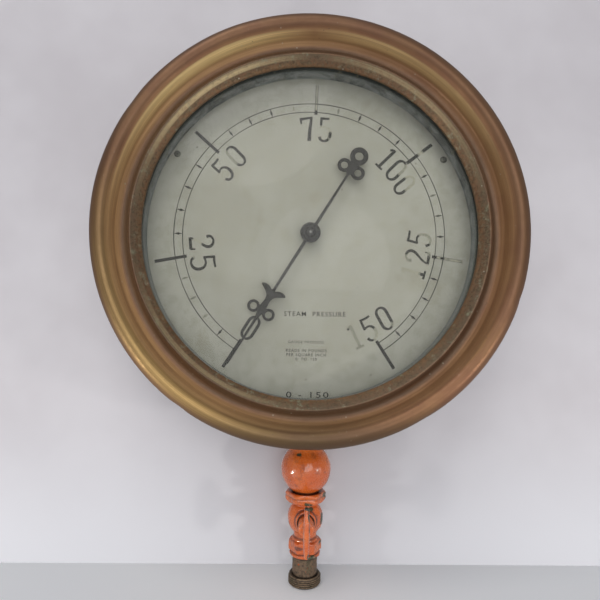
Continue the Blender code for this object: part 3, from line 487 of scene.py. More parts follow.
MATERIALS = {
    "brass_ring": spun_brass(),
    "glass": window_glass(),
    "dial": silvered_dial(),
    "ink": dial_ink(),
    "pointer": pointer_black(),
    "orange": orange_paint(),
    "pipe": dark_pipe(),
    "iron": black_iron(),
    "spacer": spacer_paint(),
    "seal": seal_rubber(),
    "bright_brass": plain_metal("bright_brass", rgb(196, 158, 92), rgb(176, 134, 72),
                                dirt=rgb(110, 84, 54)),
    "bronze": plain_metal("cast_bronze", rgb(154, 116, 76), rgb(132, 98, 66),
                          dirt=rgb(86, 76, 56), rough=(0.38, 0.58)),
    "old_screw": plain_metal("old_screw", rgb(120, 120, 108), rgb(92, 94, 86),
                             dirt=rgb(58, 58, 52), rough=(0.3, 0.5), metal=0.8),
    "steel": plain_metal("steel", rgb(150, 150, 148), rgb(128, 127, 124), dirt=rgb(92, 78, 64)),
}


# =============================================================================
# mesh tools
# =============================================================================
def write_attribute(mesh, key, values):
    attribute = mesh.attributes.new(key, 'FLOAT', 'POINT')
    attribute.data.foreach_set("value", np.asarray(values, np.float32).ravel())


def dress(obj, body="gauge_body", replaced=(), slot=None, sharp=35):
    obj.data.shade_smooth()
    if sharp:
        obj.data.set_sharp_from_angle(angle=math.radians(sharp))
    if body:
        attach(obj, body)
    if replaced:
        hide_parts(*replaced)


def new_object(name, data):
    obj = bpy.data.objects.new(name, data)
    bpy.context.scene.collection.objects.link(obj)
    return obj


def place(name, mesh, material, **dressing):
    obj = new_object(name, mesh)
    mesh.materials.clear()
    mesh.materials.append(MATERIALS[material])
    dress(obj, **dressing)
    return obj


def add_mesh(name, verts, faces, material, attributes=None, weld=True, **dressing):
    mesh = bpy.data.meshes.new(name)
    points = np.asarray(verts, float).reshape(-1, 3) * MM
    mesh.from_pydata(points.tolist(), [], [tuple(int(i) for i in face) for face in faces])
    for key, values in (attributes or {}).items():
        write_attribute(mesh, key, values)
    work = bmesh.new()
    work.from_mesh(mesh)
    if weld:
        bmesh.ops.remove_doubles(work, verts=work.verts, dist=1e-6)
    bmesh.ops.recalc_face_normals(work, faces=work.faces)
    work.to_mesh(mesh)
    work.free()
    return place(name, mesh, material, **dressing)


def grid_faces(rows, columns, wrap_rows=True, wrap_columns=True):
    """Quads over a grid of points stored row by row."""
    return [(i * columns + j, (i + 1) % rows * columns + j,
             (i + 1) % rows * columns + (j + 1) % columns, i * columns + (j + 1) % columns)
            for i in range(rows if wrap_rows else rows - 1)
            for j in range(columns if wrap_columns else columns - 1)]


def smooth_line(points, steps=6, sharp=()):
    """Catmull-Rom through the points; indices in sharp stay corners."""
    points = [np.array(point, float) for point in points]
    last = len(points) - 1
    line = []
    for i in range(last):
        start, end = points[i], points[i + 1]
        leave = (end - start) if (i in sharp or i == 0) else (end - points[i - 1]) / 2
        arrive = ((end - start) if (i + 1 in sharp or i + 1 == last)
                  else (points[i + 2] - start) / 2)
        chord = np.linalg.norm(end - start)
        for tangent in (leave, arrive):
            size = np.linalg.norm(tangent)
            if size > 1e-9:
                tangent *= chord / size
        for step in range(steps):
            u = step / steps
            line.append(start * (2 * u**3 - 3 * u**2 + 1) + leave * (u**3 - 2 * u**2 + u)
                        + end * (-2 * u**3 + 3 * u**2) + arrive * (u**3 - u**2))
    line.append(points[-1])
    return np.array(line)


def on_axis(axis, radius, height, angle):
    """Points round the gauge axis ('face'), the stem or the plug axis."""
    if axis == 'face':
        return radius * np.sin(angle), FACE - height, radius * np.cos(angle)
    if axis == 'stem':
        return radius * np.cos(angle), STEM_Y + radius * np.sin(angle), BASE + height
    return radius * np.sin(angle), STEM_Y + height, BASE + PLUG_Z + radius * np.cos(angle)


def lathe(name, profile, segments, axis, material, closed=True, warp=None, attributes=None,
          **dressing):
    """Turn a profile of (radius, height); the plug axis has its heights along +Y.

    warp and each function in attributes take radius, height and angle grids.
    """
    profile = np.asarray(profile, float)
    radius = np.repeat(profile[None, :, 0], segments, 0)
    height = np.repeat(profile[None, :, 1], segments, 0)
    angle = np.linspace(0, 2 * np.pi, segments, endpoint=False)[:, None] + 0 * radius
    if warp:
        radius, height = warp(radius, height, angle)
    values = {key: rule(radius, height, angle) for key, rule in (attributes or {}).items()}
    return add_mesh(name, np.stack(on_axis(axis, radius, height, angle), -1),
                    grid_faces(segments, len(profile), True, closed), material,
                    attributes=values, **dressing)


def tool(profile, axis='stem', segments=96, warp=None):
    """A temporary turned solid, to cut with or to fuse."""
    return lathe("tool", profile, segments, axis, "iron", closed=False, warp=warp, body=None)


def stem_rod(radius, bottom, top, top_radius=None, segments=64):
    return tool([(0, bottom), (radius, bottom), (top_radius or radius, top), (0, top)],
                segments=segments)


def evaluated_mesh(obj):
    bpy.context.view_layer.update()
    return bpy.data.meshes.new_from_object(
        obj.evaluated_get(bpy.context.evaluated_depsgraph_get()))


def boolean(obj, cutters, operation='DIFFERENCE'):
    for cutter in cutters:
        modifier = obj.modifiers.new("b", 'BOOLEAN')
        modifier.operation = operation
        modifier.solver = 'EXACT'
        modifier.object = cutter
    mesh = evaluated_mesh(obj)
    obj.modifiers.clear()
    for cutter in cutters:
        bpy.data.objects.remove(cutter, do_unlink=True)
    obj.data = mesh
    mesh.name = obj.name


def fuse(name, parts, voxel, smoothing):
    """Voxel union of temporary closed objects, softened; returns a mesh."""
    verts, faces = [], []
    for part in parts:
        first = len(verts)
        verts += [tuple(vertex.co) for vertex in part.data.vertices]
        faces += [tuple(first + i for i in face.vertices) for face in part.data.polygons]
        bpy.data.objects.remove(part, do_unlink=True)
    source = bpy.data.meshes.new(name + "_source")
    source.from_pydata(verts, [], faces)
    obj = new_object(name + "_source", source)
    remesh = obj.modifiers.new("v", 'REMESH')
    remesh.mode = 'VOXEL'
    remesh.voxel_size = voxel * MM
    remesh.use_smooth_shade = True
    smooth = obj.modifiers.new("s", 'SMOOTH')
    smooth.factor = 0.5
    smooth.iterations = smoothing
    mesh = evaluated_mesh(obj)
    bpy.data.objects.remove(obj, do_unlink=True)
    mesh.name = name
    return mesh


def ease(value, start, end):
    """Smooth step from 0 at start to 1 at end."""
    part = np.clip((value - start) / (end - start), 0, 1)
    return part * part * (3 - 2 * part)


def lumps(points, scale, amount, seed, octaves):
    """Smooth noise for rows of points."""
    shift = Vector((seed, 2 * seed, -seed))
    values = np.zeros(len(points))
    for i, point in enumerate(points):
        place_ = Vector([float(part) for part in point])
        values[i] = sum(noise.noise(place_ * scale * 2**o + shift) / 2**o for o in range(octaves))
    return values * amount


def skin_lumps(radius, angle, height, **settings):
    """lumps over grids of points round the stem."""
    points = np.stack([radius * np.cos(angle), radius * np.sin(angle), height], -1)
    return lumps(points.reshape(-1, 3), **settings).reshape(height.shape)


def face_point(x, z, height):
    return (x, FACE - height, z)


# =============================================================================
# brass ring, glass, dial and case
# =============================================================================
BEZEL_RADIUS = cad("bezel_ring")[1][0]
BEZEL_TOP = face_span("bezel_ring")[1]
# (radius, height): up the outside, over the roll, through the cove to the inner lip
RING_FRONT = smooth_line([
    (156.0, 4.2), (157.0, 20.0), (158.3, 28.5), (BEZEL_RADIUS, 33.0), (157.6, 36.9),
    (154.6, 39.8), (151.0, BEZEL_TOP), (147.4, 39.6), (144.9, 35.6), (143.3, 26.0),
    (140.9, 23.3), (137.6, 22.9), (134.5, 26.0), (132.6, 28.5), (131.0, 27.4),
    (126.3, 21.6), (126.05, 20.9)], 7, sharp=(9,))
RING_HIDDEN = [
    (126.2, 19.7), (134.4, 19.7), (134.4, 15.4), (137.4, 15.4), (138.2, 19.2), (145.2, 25.0),
    (147.6, 33.5), (151.0, 37.3), (154.6, 34.0), (153.6, 25.5), (149.55, 22.5), (149.55, 4.2),
    (150.1, 3.9), (155.4, 3.9)]
# angle and angular width in radians, depth
RIM_DINGS = ((3.75, 0.035, 0.5), (5.3, 0.05, 0.35), (1.9, 0.03, 0.4), (2.62, 0.06, 0.3))


def ring_warp(radius, height, angle):
    """Hand-spun: the crown wanders a little, and the rim has a few soft dings."""
    raised = np.clip((height - 21.0) / 10.0, 0, 1)
    wander = (0.22 * np.sin(3 * angle + 0.6) + 0.16 * np.sin(7 * angle + 2.1)
              + 0.10 * np.sin(13 * angle + 4.0))
    height = height - raised * (0.30 + wander * 0.6)
    ding = np.zeros_like(angle)
    for middle, width, depth in RIM_DINGS:
        ding += depth * np.exp(-((np.angle(np.exp(1j * (angle - middle)))) / width) ** 2)
    radius = (radius - ding * np.clip((radius - 152.0) / 5.0, 0, 1)
              - 0.05 * raised * (1 + np.sin(5 * angle)))
    return radius, height


lathe("brass_ring", np.vstack([RING_FRONT, RING_HIDDEN]), 288, 'face', "brass_ring",
      warp=ring_warp, replaced=("bezel_ring",), slot="aged_brass", sharp=50)

GLASS_RADIUS = cad("glass")[1][0]
back, front = face_span("glass")
lathe("window_glass",
      [(0, back), (GLASS_RADIUS - 0.6, back), (GLASS_RADIUS, back + 0.4),
       (GLASS_RADIUS, front - 0.4), (GLASS_RADIUS - 0.6, front), (0, front)],
      192, 'face', "glass", closed=False, replaced=("glass",), slot="glass")

back, front = face_span("glass_gasket")
lathe("window_gasket",
      smooth_line([(133.6, back), (133.6, front), (130.0, front), (128.0, front - 0.1),
                   (127.5, (back + front) / 2), (128.0, back)], 4, sharp=(1,)),
      192, 'face', "seal", replaced=("glass_gasket",), slot="seal")

SPACER_BORE = 128.0
SPACER_GROOVE = SPACER_BORE + 0.35       # a shallow groove runs round the bore
back, front = face_span("spacer_ring")
lathe("spacer_ring_visual",
      [(133.0, back), (133.0, front), (SPACER_BORE + 0.8, front), (SPACER_BORE, front - 0.8),
       (SPACER_BORE, back + 3.2), (SPACER_GROOVE, back + 2.6), (SPACER_GROOVE, back + 2.0),
       (SPACER_BORE, back + 1.4), (SPACER_BORE, back + 0.4), (SPACER_BORE + 0.4, back)],
      192, 'face', "spacer", replaced=("spacer_ring",), slot="spacer_paint")

dial_radii = [3.2, 3.6, *np.linspace(8, 128, 26), 131.1, 131.5]
lathe("dial_face",
      [(radius, 0.0 if 3.5 < radius < 131.2 else -0.25) for radius in dial_radii]
      + [(131.5, -1.5), (3.2, -1.5)],
      192, 'face', "dial", replaced=("dial_plate",), slot="silvered_dial")


def build_case():
    """Cast case with its flange, the shank boss and the recess over the socket hexagon."""
    wall = 128.0
    flange = cad("case_shell")[1][0]
    back = face_span("case_shell")[0]
    profile = np.vstack([
        smooth_line([(0.0, back), (60.0, back), (wall - 11.0, back), (wall - 5.6, back + 1.2),
                     (wall - 1.4, back + 5.0), (wall, back + 10.5)], 5, sharp=(1, 2)),
        smooth_line([(wall, -15.0), (wall + 1.2, -11.8), (wall + 4.4, -9.4), (flange - 4.0, -7.6),
                     (flange - 1.2, -7.2), (flange, -5.6)], 4, sharp=(3,)),
        [(flange, 12.6), (flange - 0.9, 13.5), (138.0, 13.5), (138.0, -1.8), (122.5, -1.8),
         (122.5, -32.8), (115.5, -39.8), (0.0, -39.8)]])
    case = lathe("cast_case", profile, 176, 'face', "iron", closed=False, body=None)
    boolean(case, [stem_rod(18.9, -130.6 - BASE, -118.0 - BASE, 18.1)], 'UNION')
    boolean(case, [stem_rod(13.3, -139.0 - BASE, -112.0 - BASE),
                   stem_rod(17.2, -164.0 - BASE, -138.8 - BASE)])
    case.data.materials.clear()
    case.data.materials.append(MATERIALS["iron"])
    dress(case, replaced=("case_shell",), slot="black_iron", sharp=40)


build_case()


# =============================================================================
# dial markings
# =============================================================================
# marks are drawn small, then enlarged about the dial centre and shifted in x, z
MARK_SCALE = 1.035
MARK_SHIFT = np.array([-0.06, -0.16])
MARK_TOP = 0.07                          # height of a mark off the dial


class Marks:
    """Collects thin closed solids lying on the dial."""

    def __init__(self):
        self.verts, self.faces, self.wear = [], [], []

    def ribbon(self, points, half, wear, top=MARK_TOP, closed=False):
        """A band along (x, z) points; half is its half width."""
        points = np.asarray(points, float) * MARK_SCALE + MARK_SHIFT
        count = len(points)
        half = np.broadcast_to(np.asarray(half, float) * MARK_SCALE, (count,))
        wear = np.broadcast_to(np.asarray(wear, float), (count,))
        if closed:
            along = np.roll(points, -1, 0) - np.roll(points, 1, 0)
        else:
            along = np.gradient(points, axis=0)
        along /= np.linalg.norm(along, axis=1)[:, None]
        aside = np.stack([-along[:, 1], along[:, 0]], 1) * half[:, None]
        first = len(self.verts)
        for here, out, value in zip(points, aside, wear):
            for (x, z), height in ((here + out, top), (here - out, top),
                                   (here - out, -0.1), (here + out, -0.1)):
                self.verts.append(face_point(x, z, height))
                self.wear.append(value)
        self.faces += [tuple(first + i for i in face)
                       for face in grid_faces(count, 4, closed, True)]
        if not closed:
            self.faces.append(tuple(first + k for k in (3, 2, 1, 0)))
            self.faces.append(tuple(first + 4 * (count - 1) + k for k in range(4)))

    def make(self, name):
        add_mesh(name, self.verts, self.faces, "ink", slot="pointer_black",
                 attributes={"wear": self.wear}, weld=False, sharp=30)


def clock_axes(degrees):
    """Unit vectors (x, z) pointing out at a clockwise angle from the top, and aside of it."""
    angle = math.radians(degrees)
    return (np.array([math.sin(angle), math.cos(angle)]),
            np.array([math.cos(angle), -math.sin(angle)]))


def spoke(degrees, inner, outer, count, side=0.0):
    out, aside = clock_axes(degrees)
    return out[None, :] * np.linspace(inner, outer, count)[:, None] + aside[None, :] * side


ARC_INNER, ARC_OUTER = 97.0, 103.7
# scale value, degrees clockwise from the top
MAJOR = [(0, 212.3), (25, 259.2), (50, 311.5), (75, 362.0), (100, 412.1), (125, 459.0),
         (150, 507.3)]
SCALE_START, SCALE_END = MAJOR[0][1], MAJOR[-1][1]

arcs = Marks()
for radius in (ARC_INNER, ARC_OUTER):
    degrees = np.linspace(SCALE_START, SCALE_END, 361)
    points = np.stack([radius * np.sin(np.radians(degrees)),
                       radius * np.cos(np.radians(degrees))], 1)
    wear = 0.0 + 0.30 * np.clip(np.sin(np.radians(degrees * 3.1 + radius * 9))
                                * np.sin(np.radians(degrees * 7.7)), 0, 1)
    arcs.ribbon(points, half=0.31 + 0.04 * np.sin(np.radians(degrees * 11)), wear=wear)
arcs.ribbon(spoke(SCALE_START, ARC_INNER, ARC_OUTER, 4), half=0.28, wear=0.15)
arcs.ribbon(spoke(SCALE_END, ARC_INNER, ARC_OUTER, 4), half=0.28, wear=0.1)
arcs.make("scale_arcs")

ticks = Marks()
for value, degrees in MAJOR:
    if value in (75, 125):
        # the filling has fallen out: two thin edges remain
        for side in (-0.85, 0.85):
            ticks.ribbon(spoke(degrees, 95.6, 119.0, 14, side), half=0.22,
                         wear=0.38 if value == 75 else 0.55)
        ticks.ribbon(spoke(degrees, 95.0, 98.6, 5), half=1.15, wear=0.0 if value == 75 else 0.1)
        ticks.ribbon(spoke(degrees, 98.8, 118.8, 12), half=0.7,
                     wear=[0.82 + 0.1 * math.sin(i) for i in range(12)], top=0.04)
        if value == 125:
            ticks.ribbon(spoke(degrees, 101.4, 104.6, 5), half=1.0, wear=0.12)
    elif value == 100:
        ticks.ribbon(spoke(degrees, 94.4, 119.2, 18), half=1.3,
                     wear=[0.02] * 7 + [0.15, 0.75, 0.9, 0.8, 0.4, 0.1, 0.05, 0.05, 0.05, 0.1, 0.2])
    else:
        ticks.ribbon(spoke(degrees, 95.0, 119.5, 12), half=[1.15] * 4 + [1.22] * 8,
                     wear=0.08 if value in (0, 150) else 0.12)
ticks.make("scale_main_marks")

# wear of the faded small marks by (gap between main marks, mark in the gap)
FADED = {(0, 2): 0.62, (0, 3): 0.5, (0, 4): 0.55, (2, 4): 0.75, (3, 1): 0.55, (4, 2): 0.5,
         (1, 2): 0.3, (5, 3): 0.3, (4, 3): 0.4}
# half widths and added wear along a small mark, which is a long diamond
SMALL_HALF = [0.26, 0.32, 0.4, 0.56, 0.86, 0.98, 0.8, 0.54, 0.4, 0.32, 0.26]
SMALL_WEAR = [0.15, 0.1, 0, 0, 0, 0, 0, 0, 0, 0.1, 0.15]

small = Marks()
for gap in range(6):
    start, end = MAJOR[gap][1], MAJOR[gap + 1][1]
    for j in range(1, 5):
        faded = FADED.get((gap, j), 0.08)
        small.ribbon(spoke(start + (end - start) * j / 5, ARC_INNER + 0.6, ARC_OUTER - 0.6, 11),
                     half=SMALL_HALF, wear=[faded + extra for extra in SMALL_WEAR])
small.make("scale_small_marks")


def even(start, end, count):
    return np.linspace(np.array(start, float), np.array(end, float), count)


# strokes are (centre line, half widths, closed)
def straight(start, end, count, half):
    return even(start, end, count), half, False


def tapered(points, steps, first_half, last_half):
    line = smooth_line(points, steps)
    return line, np.linspace(first_half, last_half, len(line)), False


def swelling(points, stations, halves):
    """A curved stroke with half widths given at stations from 0 to 1."""
    line = smooth_line(points, 5)
    return line, np.interp(np.linspace(0, 1, len(line)), stations, halves), False


def oval():
    turn = np.linspace(0, np.pi, 18)
    top = np.stack([0.25 + 0.2 * np.cos(turn), 0.72 + 0.235 * np.sin(turn)], 1)
    low = np.stack([0.25 - 0.2 * np.cos(turn), 0.28 - 0.235 * np.sin(turn)], 1)
    line = np.vstack([even((0.45, 0.30), (0.45, 0.70), 9), top,
                      even((0.05, 0.70), (0.05, 0.30), 9), low])
    return line, 0.034 + 0.016 * np.minimum(np.abs(line[:, 0] - 0.25) / 0.2, 1), True


# numeral: (width, strokes), in a box one unit high
GLYPHS = {
    '0': (0.50, [oval()]),
    '1': (0.40, [
        straight((0.21, 0.03), (0.21, 0.985), 12, 0.052),
        straight((0.03, 0.035), (0.39, 0.035), 6, 0.036),
        tapered([(0.22, 0.955), (0.13, 0.92), (0.05, 0.84)], 4, 0.032, 0.042)]),
    '2': (0.56, [
        swelling([(0.095, 0.70), (0.065, 0.79), (0.115, 0.895), (0.25, 0.955), (0.40, 0.90),
                  (0.475, 0.77), (0.43, 0.61), (0.30, 0.44), (0.165, 0.27), (0.085, 0.09)],
                 [0, 0.08, 0.3, 0.5, 0.62, 0.8, 1],
                 [0.052, 0.05, 0.034, 0.052, 0.05, 0.036, 0.032]),
        straight((0.055, 0.052), (0.515, 0.052), 8, 0.05),
        straight((0.505, 0.03), (0.525, 0.225), 5, [0.036, 0.034, 0.03, 0.026, 0.022])]),
    '5': (0.52, [
        swelling([(0.085, 0.555), (0.16, 0.60), (0.28, 0.615), (0.41, 0.53), (0.462, 0.37),
                  (0.44, 0.20), (0.35, 0.085), (0.23, 0.045), (0.115, 0.085), (0.05, 0.20)],
                 [0, 0.2, 0.45, 0.6, 0.8, 0.92, 1],
                 [0.032, 0.034, 0.052, 0.05, 0.036, 0.044, 0.05]),
        straight((0.088, 0.99), (0.084, 0.535), 9, 0.042),
        tapered([(0.06, 0.955), (0.25, 0.95), (0.40, 0.965), (0.475, 0.985)], 4, 0.042, 0.034)]),
    '7': (0.56, [
        tapered([(0.505, 0.975), (0.468, 0.70), (0.425, 0.42), (0.40, 0.02)], 5, 0.042, 0.066),
        tapered([(0.03, 0.90), (0.18, 0.915), (0.36, 0.945), (0.545, 0.97)], 4, 0.05, 0.036),
        straight((0.055, 0.93), (0.085, 0.70), 6, [0.04, 0.04, 0.038, 0.034, 0.03, 0.026])]),
}

# numeral, centre x, centre z, upright direction clockwise from the top, height, width,
# wear over the glyph box
NUMERALS = [
    ('5', -67.4, 49.2, 311.8, 19.2, 9.3,
     lambda x, y: 0.06 + 0.25 * ease(y, 0.5, 0.62) * ease(0.72 - y, 0, 0.1)),
    ('0', -58.1, 60.7, 315.0, 18.9, 9.2,
     lambda x, y: 0.06 + 0.62 * ease(0.22 - x, 0.0, 0.12) * ease(y, 0.1, 0.3)),
    ('7', -4.1, 83.4, 358.6, 19.6, 10.6, lambda x, y: 0.05),
    ('5', 10.7, 83.1, 3.4, 19.8, 10.4,
     lambda x, y: 0.05 + 0.78 * np.maximum(
         ease(y, 0.36, 0.46) * ease(0.72 - y, 0.0, 0.1),
         np.maximum(ease(x, 0.34, 0.42) * ease(y, 0.9, 0.94),
                    0.7 * ease(x, 0.36, 0.42) * ease(0.24 - y, 0, 0.08)))),
    ('1', 58.8, 61.3, 45.0, 19.4, 7.6, lambda x, y: 0.04),
    ('0', 66.3, 52.2, 44.6, 19.8, 9.5,
     lambda x, y: 0.06 + 0.66 * ease(x, 0.28, 0.38) * ease(y, 0.36, 0.5) * ease(0.97 - y, 0, 0.05)),
    ('0', 72.6, 40.7, 51.0, 19.4, 9.3,
     lambda x, y: 0.08 + 0.72 * np.maximum(
         ease(x - 0.25 + 0.5 * (y - 0.45), 0.0, 0.12), ease(y, 0.62, 0.74))
     * (1 - ease(x, 0.3, 0.36) * ease(0.42 - y, 0, 0.1) * ease(y, 0.1, 0.2))),
    ('5', 84.4, -1.2, 283.6, 18.8, 10.4,
     lambda x, y: 0.06 + 0.66 * ease(0.6 - y, 0.0, 0.06) * ease(x, 0.1, 0.2)),
    ('2', 82.5, -15.1, 280.6, 19.4, 10.6,
     lambda x, y: 0.34 + 0.34 * ease(y, 0.62, 0.8) * ease(0.32 - x, 0, 0.1)
     - 0.25 * ease(y, 0.25, 0.35) * ease(0.6 - y, 0, 0.1)
     + 0.3 * ease(x, 0.36, 0.44) * ease(0.2 - y, 0, 0.1)),
    ('1', 79.2, -27.0, 286.4, 19.0, 7.4, lambda x, y: 0.08 + 0.74 * ease(y, 0.14, 0.26)),
    ('1', 35.0, -76.8, 334.2, 19.0, 7.4,
     lambda x, y: 0.72 - 0.6 * ease(0.12 - x, 0.0, 0.05) * ease(y, 0.8, 0.86)
     - 0.1 * ease(0.1 - y, 0, 0.05)),
    ('5', 45.9, -71.1, 334.2, 19.0, 10.0,
     lambda x, y: 0.05 + 0.72 * ease(0.50 - y, 0.0, 0.1) * ease(x + y * 0.3, 0.16, 0.3)),
    ('0', 57.2, -62.8, 330.5, 19.2, 9.6,
     lambda x, y: 0.08 + 0.6 * ease(x, 0.32, 0.4) * ease(0.3 - y, 0, 0.12)),
    ('2', -82.2, -7.0, 83.7, 19.4, 11.2,
     lambda x, y: 0.05 + 0.78 * ease(y, 0.11, 0.2) * ease(0.56 - y, 0.0, 0.1)
     * ease(0.40 - x, 0.0, 0.08)),
    ('5', -81.0, -22.7, 83.8, 19.4, 11.8,
     lambda x, y: 0.05 + 0.8 * np.maximum(
         ease(x, 0.42, 0.46) * ease(y, 0.9, 0.94),
         0.8 * ease(0.1 - x, 0, 0.04) * ease(0.26 - y, 0, 0.05))),
    ('0', -43.8, -71.5, 31.8, 19.6, 10.0, lambda x, y: 0.05),
]
STROKE_WEIGHT = 1.16                     # thickens all numeral strokes
STROKE_LIFT = 0.004                      # each further stroke lies this much higher

numerals = Marks()
for numeral, x, z, upright, height, width, wear_rule in NUMERALS:
    box_width, strokes = GLYPHS[numeral]
    upward, aside = clock_axes(upright)
    for k, (line, half, closed) in enumerate(strokes):
        points = (np.array([x, z])
                  + aside[None, :] * ((line[:, 0] - box_width / 2) * width / box_width)[:, None]
                  + upward[None, :] * ((line[:, 1] - 0.5) * height)[:, None])
        numerals.ribbon(points, np.asarray(half) * height * STROKE_WEIGHT,
                        wear_rule(line[:, 0], line[:, 1]), MARK_TOP + STROKE_LIFT * k, closed)
numerals.make("scale_numerals")

# name, text, x, z, letter size, stretch along x, wear
LETTERING = [
    ("unit_line_1", "STEAM  PRESSURE", 4.5, -60.5, 3.6, 1.0, 0.22),
    ("unit_line_2", "GAUGE PRESSURE", -1.8, -81.6, 2.1, 1.0, 0.4),
    ("unit_line_3", "READS IN POUNDS", -1.6, -88.0, 2.2, 1.0, 0.15),
    ("unit_line_4", "PER SQUARE INCH", -1.6, -91.2, 2.2, 1.0, 0.15),
    ("unit_line_5", "0  TO  150", -1.6, -94.4, 2.1, 1.0, 0.15),
    ("lower_figures", "0 - 150", -0.4, -121.0, 4.4, 1.5, 0.1),
]


def lettering(name, text, x, z, size, stretch, wear):
    x, z = np.array([x, z]) * MARK_SCALE + MARK_SHIFT
    curve = bpy.data.curves.new(name, 'FONT')
    curve.body = text
    curve.size = size * MARK_SCALE * MM * 1.38       # font size for this letter size
    curve.align_x = 'CENTER'
    curve.align_y = 'CENTER'
    curve.extrude = 0.05 * MM
    curve.offset = 0.00003               # metres, makes the letters bolder
    curve.space_character = 1.22
    curve.resolution_u = 3
    obj = new_object(name, curve)
    mesh = evaluated_mesh(obj)
    bpy.data.objects.remove(obj, do_unlink=True)
    mesh.transform(Matrix.Translation((x * MM, FACE * MM, z * MM))
                   @ Matrix.Rotation(math.pi / 2, 4, 'X') @ Matrix.Diagonal((stretch, 1, 1, 1)))
    mesh.name = name
    write_attribute(mesh, "wear", np.full(len(mesh.vertices), wear))
    place(name, mesh, "ink", sharp=30)


for line in LETTERING:
    lettering(*line)


def dial_screw(number):
    """Domed slotted screw head on the dial, with a plain shank behind."""
    segments = 40
    low, high = cad("dial_screw_%d" % number)
    middle_x, middle_z = (low[0] + high[0]) / 2, (low[2] + high[2]) / 2
    dome = smooth_line([(0.0, 1.38), (1.2, 1.30), (2.1, 1.0), (2.6, 0.55), (2.7, 0.3)], 4)
    slot_angle = math.radians(25 + 47 * (number - 1))
    verts = []
    for angle in np.linspace(0, 2 * np.pi, segments, endpoint=False):
        cosine, sine = math.cos(angle), math.sin(angle)
        for radius, height in dome:
            x, z = radius * cosine, radius * sine
            off_slot = abs(-x * math.sin(slot_angle) + z * math.cos(slot_angle))
            cut = 0.65 * (1 - ease(off_slot, 0.36, 0.52)) * (radius < 2.65)
            verts.append(face_point(middle_x + x, middle_z + z, height - cut))
        for radius, height in ((1.5, 0.3), (1.5, -7.7), (0.0, -7.7)):
            verts.append(face_point(middle_x + radius * cosine, middle_z + radius * sine, height))
    add_mesh("dial_screw_head_%d" % number, verts,
             grid_faces(segments, len(dome) + 3, True, False), "old_screw",
             replaced=("dial_screw_%d" % number,), slot="bright_brass")


dial_screw(1)
dial_screw(2)


# =============================================================================
# pointer and its hub
# =============================================================================
POINTER_REST = 211.4                     # degrees clockwise from the top
POINTER_SCALE = 1.027                    # the blade is drawn small in its own plane
BLADE_BACK, BLADE_FRONT = face_span("pointer")

# in blade coordinates: distance along the pointer, half width
NEEDLE = [(-54.0, 0.82), (-4.0, 1.25), (4.0, 1.25), (50.0, 1.02), (56.0, 1.7), (61.0, 2.1),
          (66.0, 2.7), (70.0, 2.5), (75.0, 1.3), (80.0, 1.0), (115.6, 0.66)]
TAIL_PLATE = [(-52.5, 0.6), (-54.5, 1.8), (-57.0, 3.3), (-62.0, 3.6), (-66.5, 3.4)]
# the crescent's two arcs, (along, aside), meeting in two points
CRESCENT_OUTER = [(52.2, -10.0), (54.4, -6.0), (57.0, -2.9), (59.6, -2.1), (61.5, 0.0),
                  (59.6, 2.1), (57.0, 2.9), (54.4, 6.0), (52.2, 10.0)]
CRESCENT_INNER = [(50.9, 10.3), (50.0, 7.9), (50.1, 4.8), (51.6, 1.9), (52.4, 0.0),
                  (51.6, -1.9), (50.1, -4.8), (50.0, -7.9), (50.9, -10.3)]
# along, aside, outer radius, inner radius, added thickness on each face
HOOPS = [(69.2, 6.6, 4.68, 2.6, 0.01), (69.2, -6.6, 4.68, 2.6, 0.01),
         (-58.4, 6.0, 5.3, 2.78, 0.01), (-58.4, -6.0, 5.3, 2.78, 0.01),
         (-70.2, 0.0, 7.0, 3.3, 0.01)]
HUB_HOOP = (0, 0, 6.0, 2.9, 0)


class Blade:
    """Overlapping closed solids in blade coordinates (along, aside, height)."""

    def __init__(self):
        self.verts, self.faces = [], []

    def prism(self, outline, extra=0.0):
        count, first = len(outline), len(self.verts)
        for height in (BLADE_BACK - extra, BLADE_FRONT + extra):
            self.verts += [(along, aside, height) for along, aside in outline]
        self.faces += [(first + i, first + (i + 1) % count, first + count + (i + 1) % count,
                        first + count + i) for i in range(count)]
        self.faces += [tuple(first + i for i in range(count))[::-1],
                       tuple(first + count + i for i in range(count))]

    def hoop(self, along, aside, outer, inner, extra):
        count, first = 48, len(self.verts)
        low, high = BLADE_BACK - extra, BLADE_FRONT + extra
        for i in range(count):
            angle = 2 * math.pi * i / count
            for radius, height in ((inner, low), (outer, low), (outer, high), (inner, high)):
                self.verts.append((along + radius * math.cos(angle),
                                   aside + radius * math.sin(angle), height))
        self.faces += [tuple(first + i for i in face) for face in grid_faces(count, 4)]


def mirrored(edge):
    """Close an outline given by one edge."""
    return edge + [(along, -aside) for along, aside in edge[::-1]]


def build_pointer():
    blade = Blade()
    blade.prism(mirrored(NEEDLE))
    blade.prism([tuple(point) for point in smooth_line(CRESCENT_OUTER)]
                + [tuple(point) for point in smooth_line(CRESCENT_INNER)], extra=0.02)
    for hoop in HOOPS:
        blade.hoop(*hoop)
    blade.prism(mirrored(TAIL_PLATE), extra=0.03)
    blade.hoop(*HUB_HOOP)
    source = add_mesh("tool", blade.verts, blade.faces, "pointer", weld=False, body=None)
    mesh = fuse("pointer_blade", [source], voxel=0.20, smoothing=4)
    (out_x, out_z), (aside_x, aside_z) = clock_axes(POINTER_REST)
    mesh.transform(Matrix((
        (POINTER_SCALE * out_x, POINTER_SCALE * aside_x, 0, 0),
        (0, 0, -1, FACE * MM),
        (POINTER_SCALE * out_z, POINTER_SCALE * aside_z, 0, 0),
        (0, 0, 0, 1))))
    mesh.flip_normals()                  # the transform mirrors the mesh
    place("pointer_blade", mesh, "pointer", body="pointer_set", replaced=("pointer",),
          slot="pointer_black", sharp=None)


build_pointer()

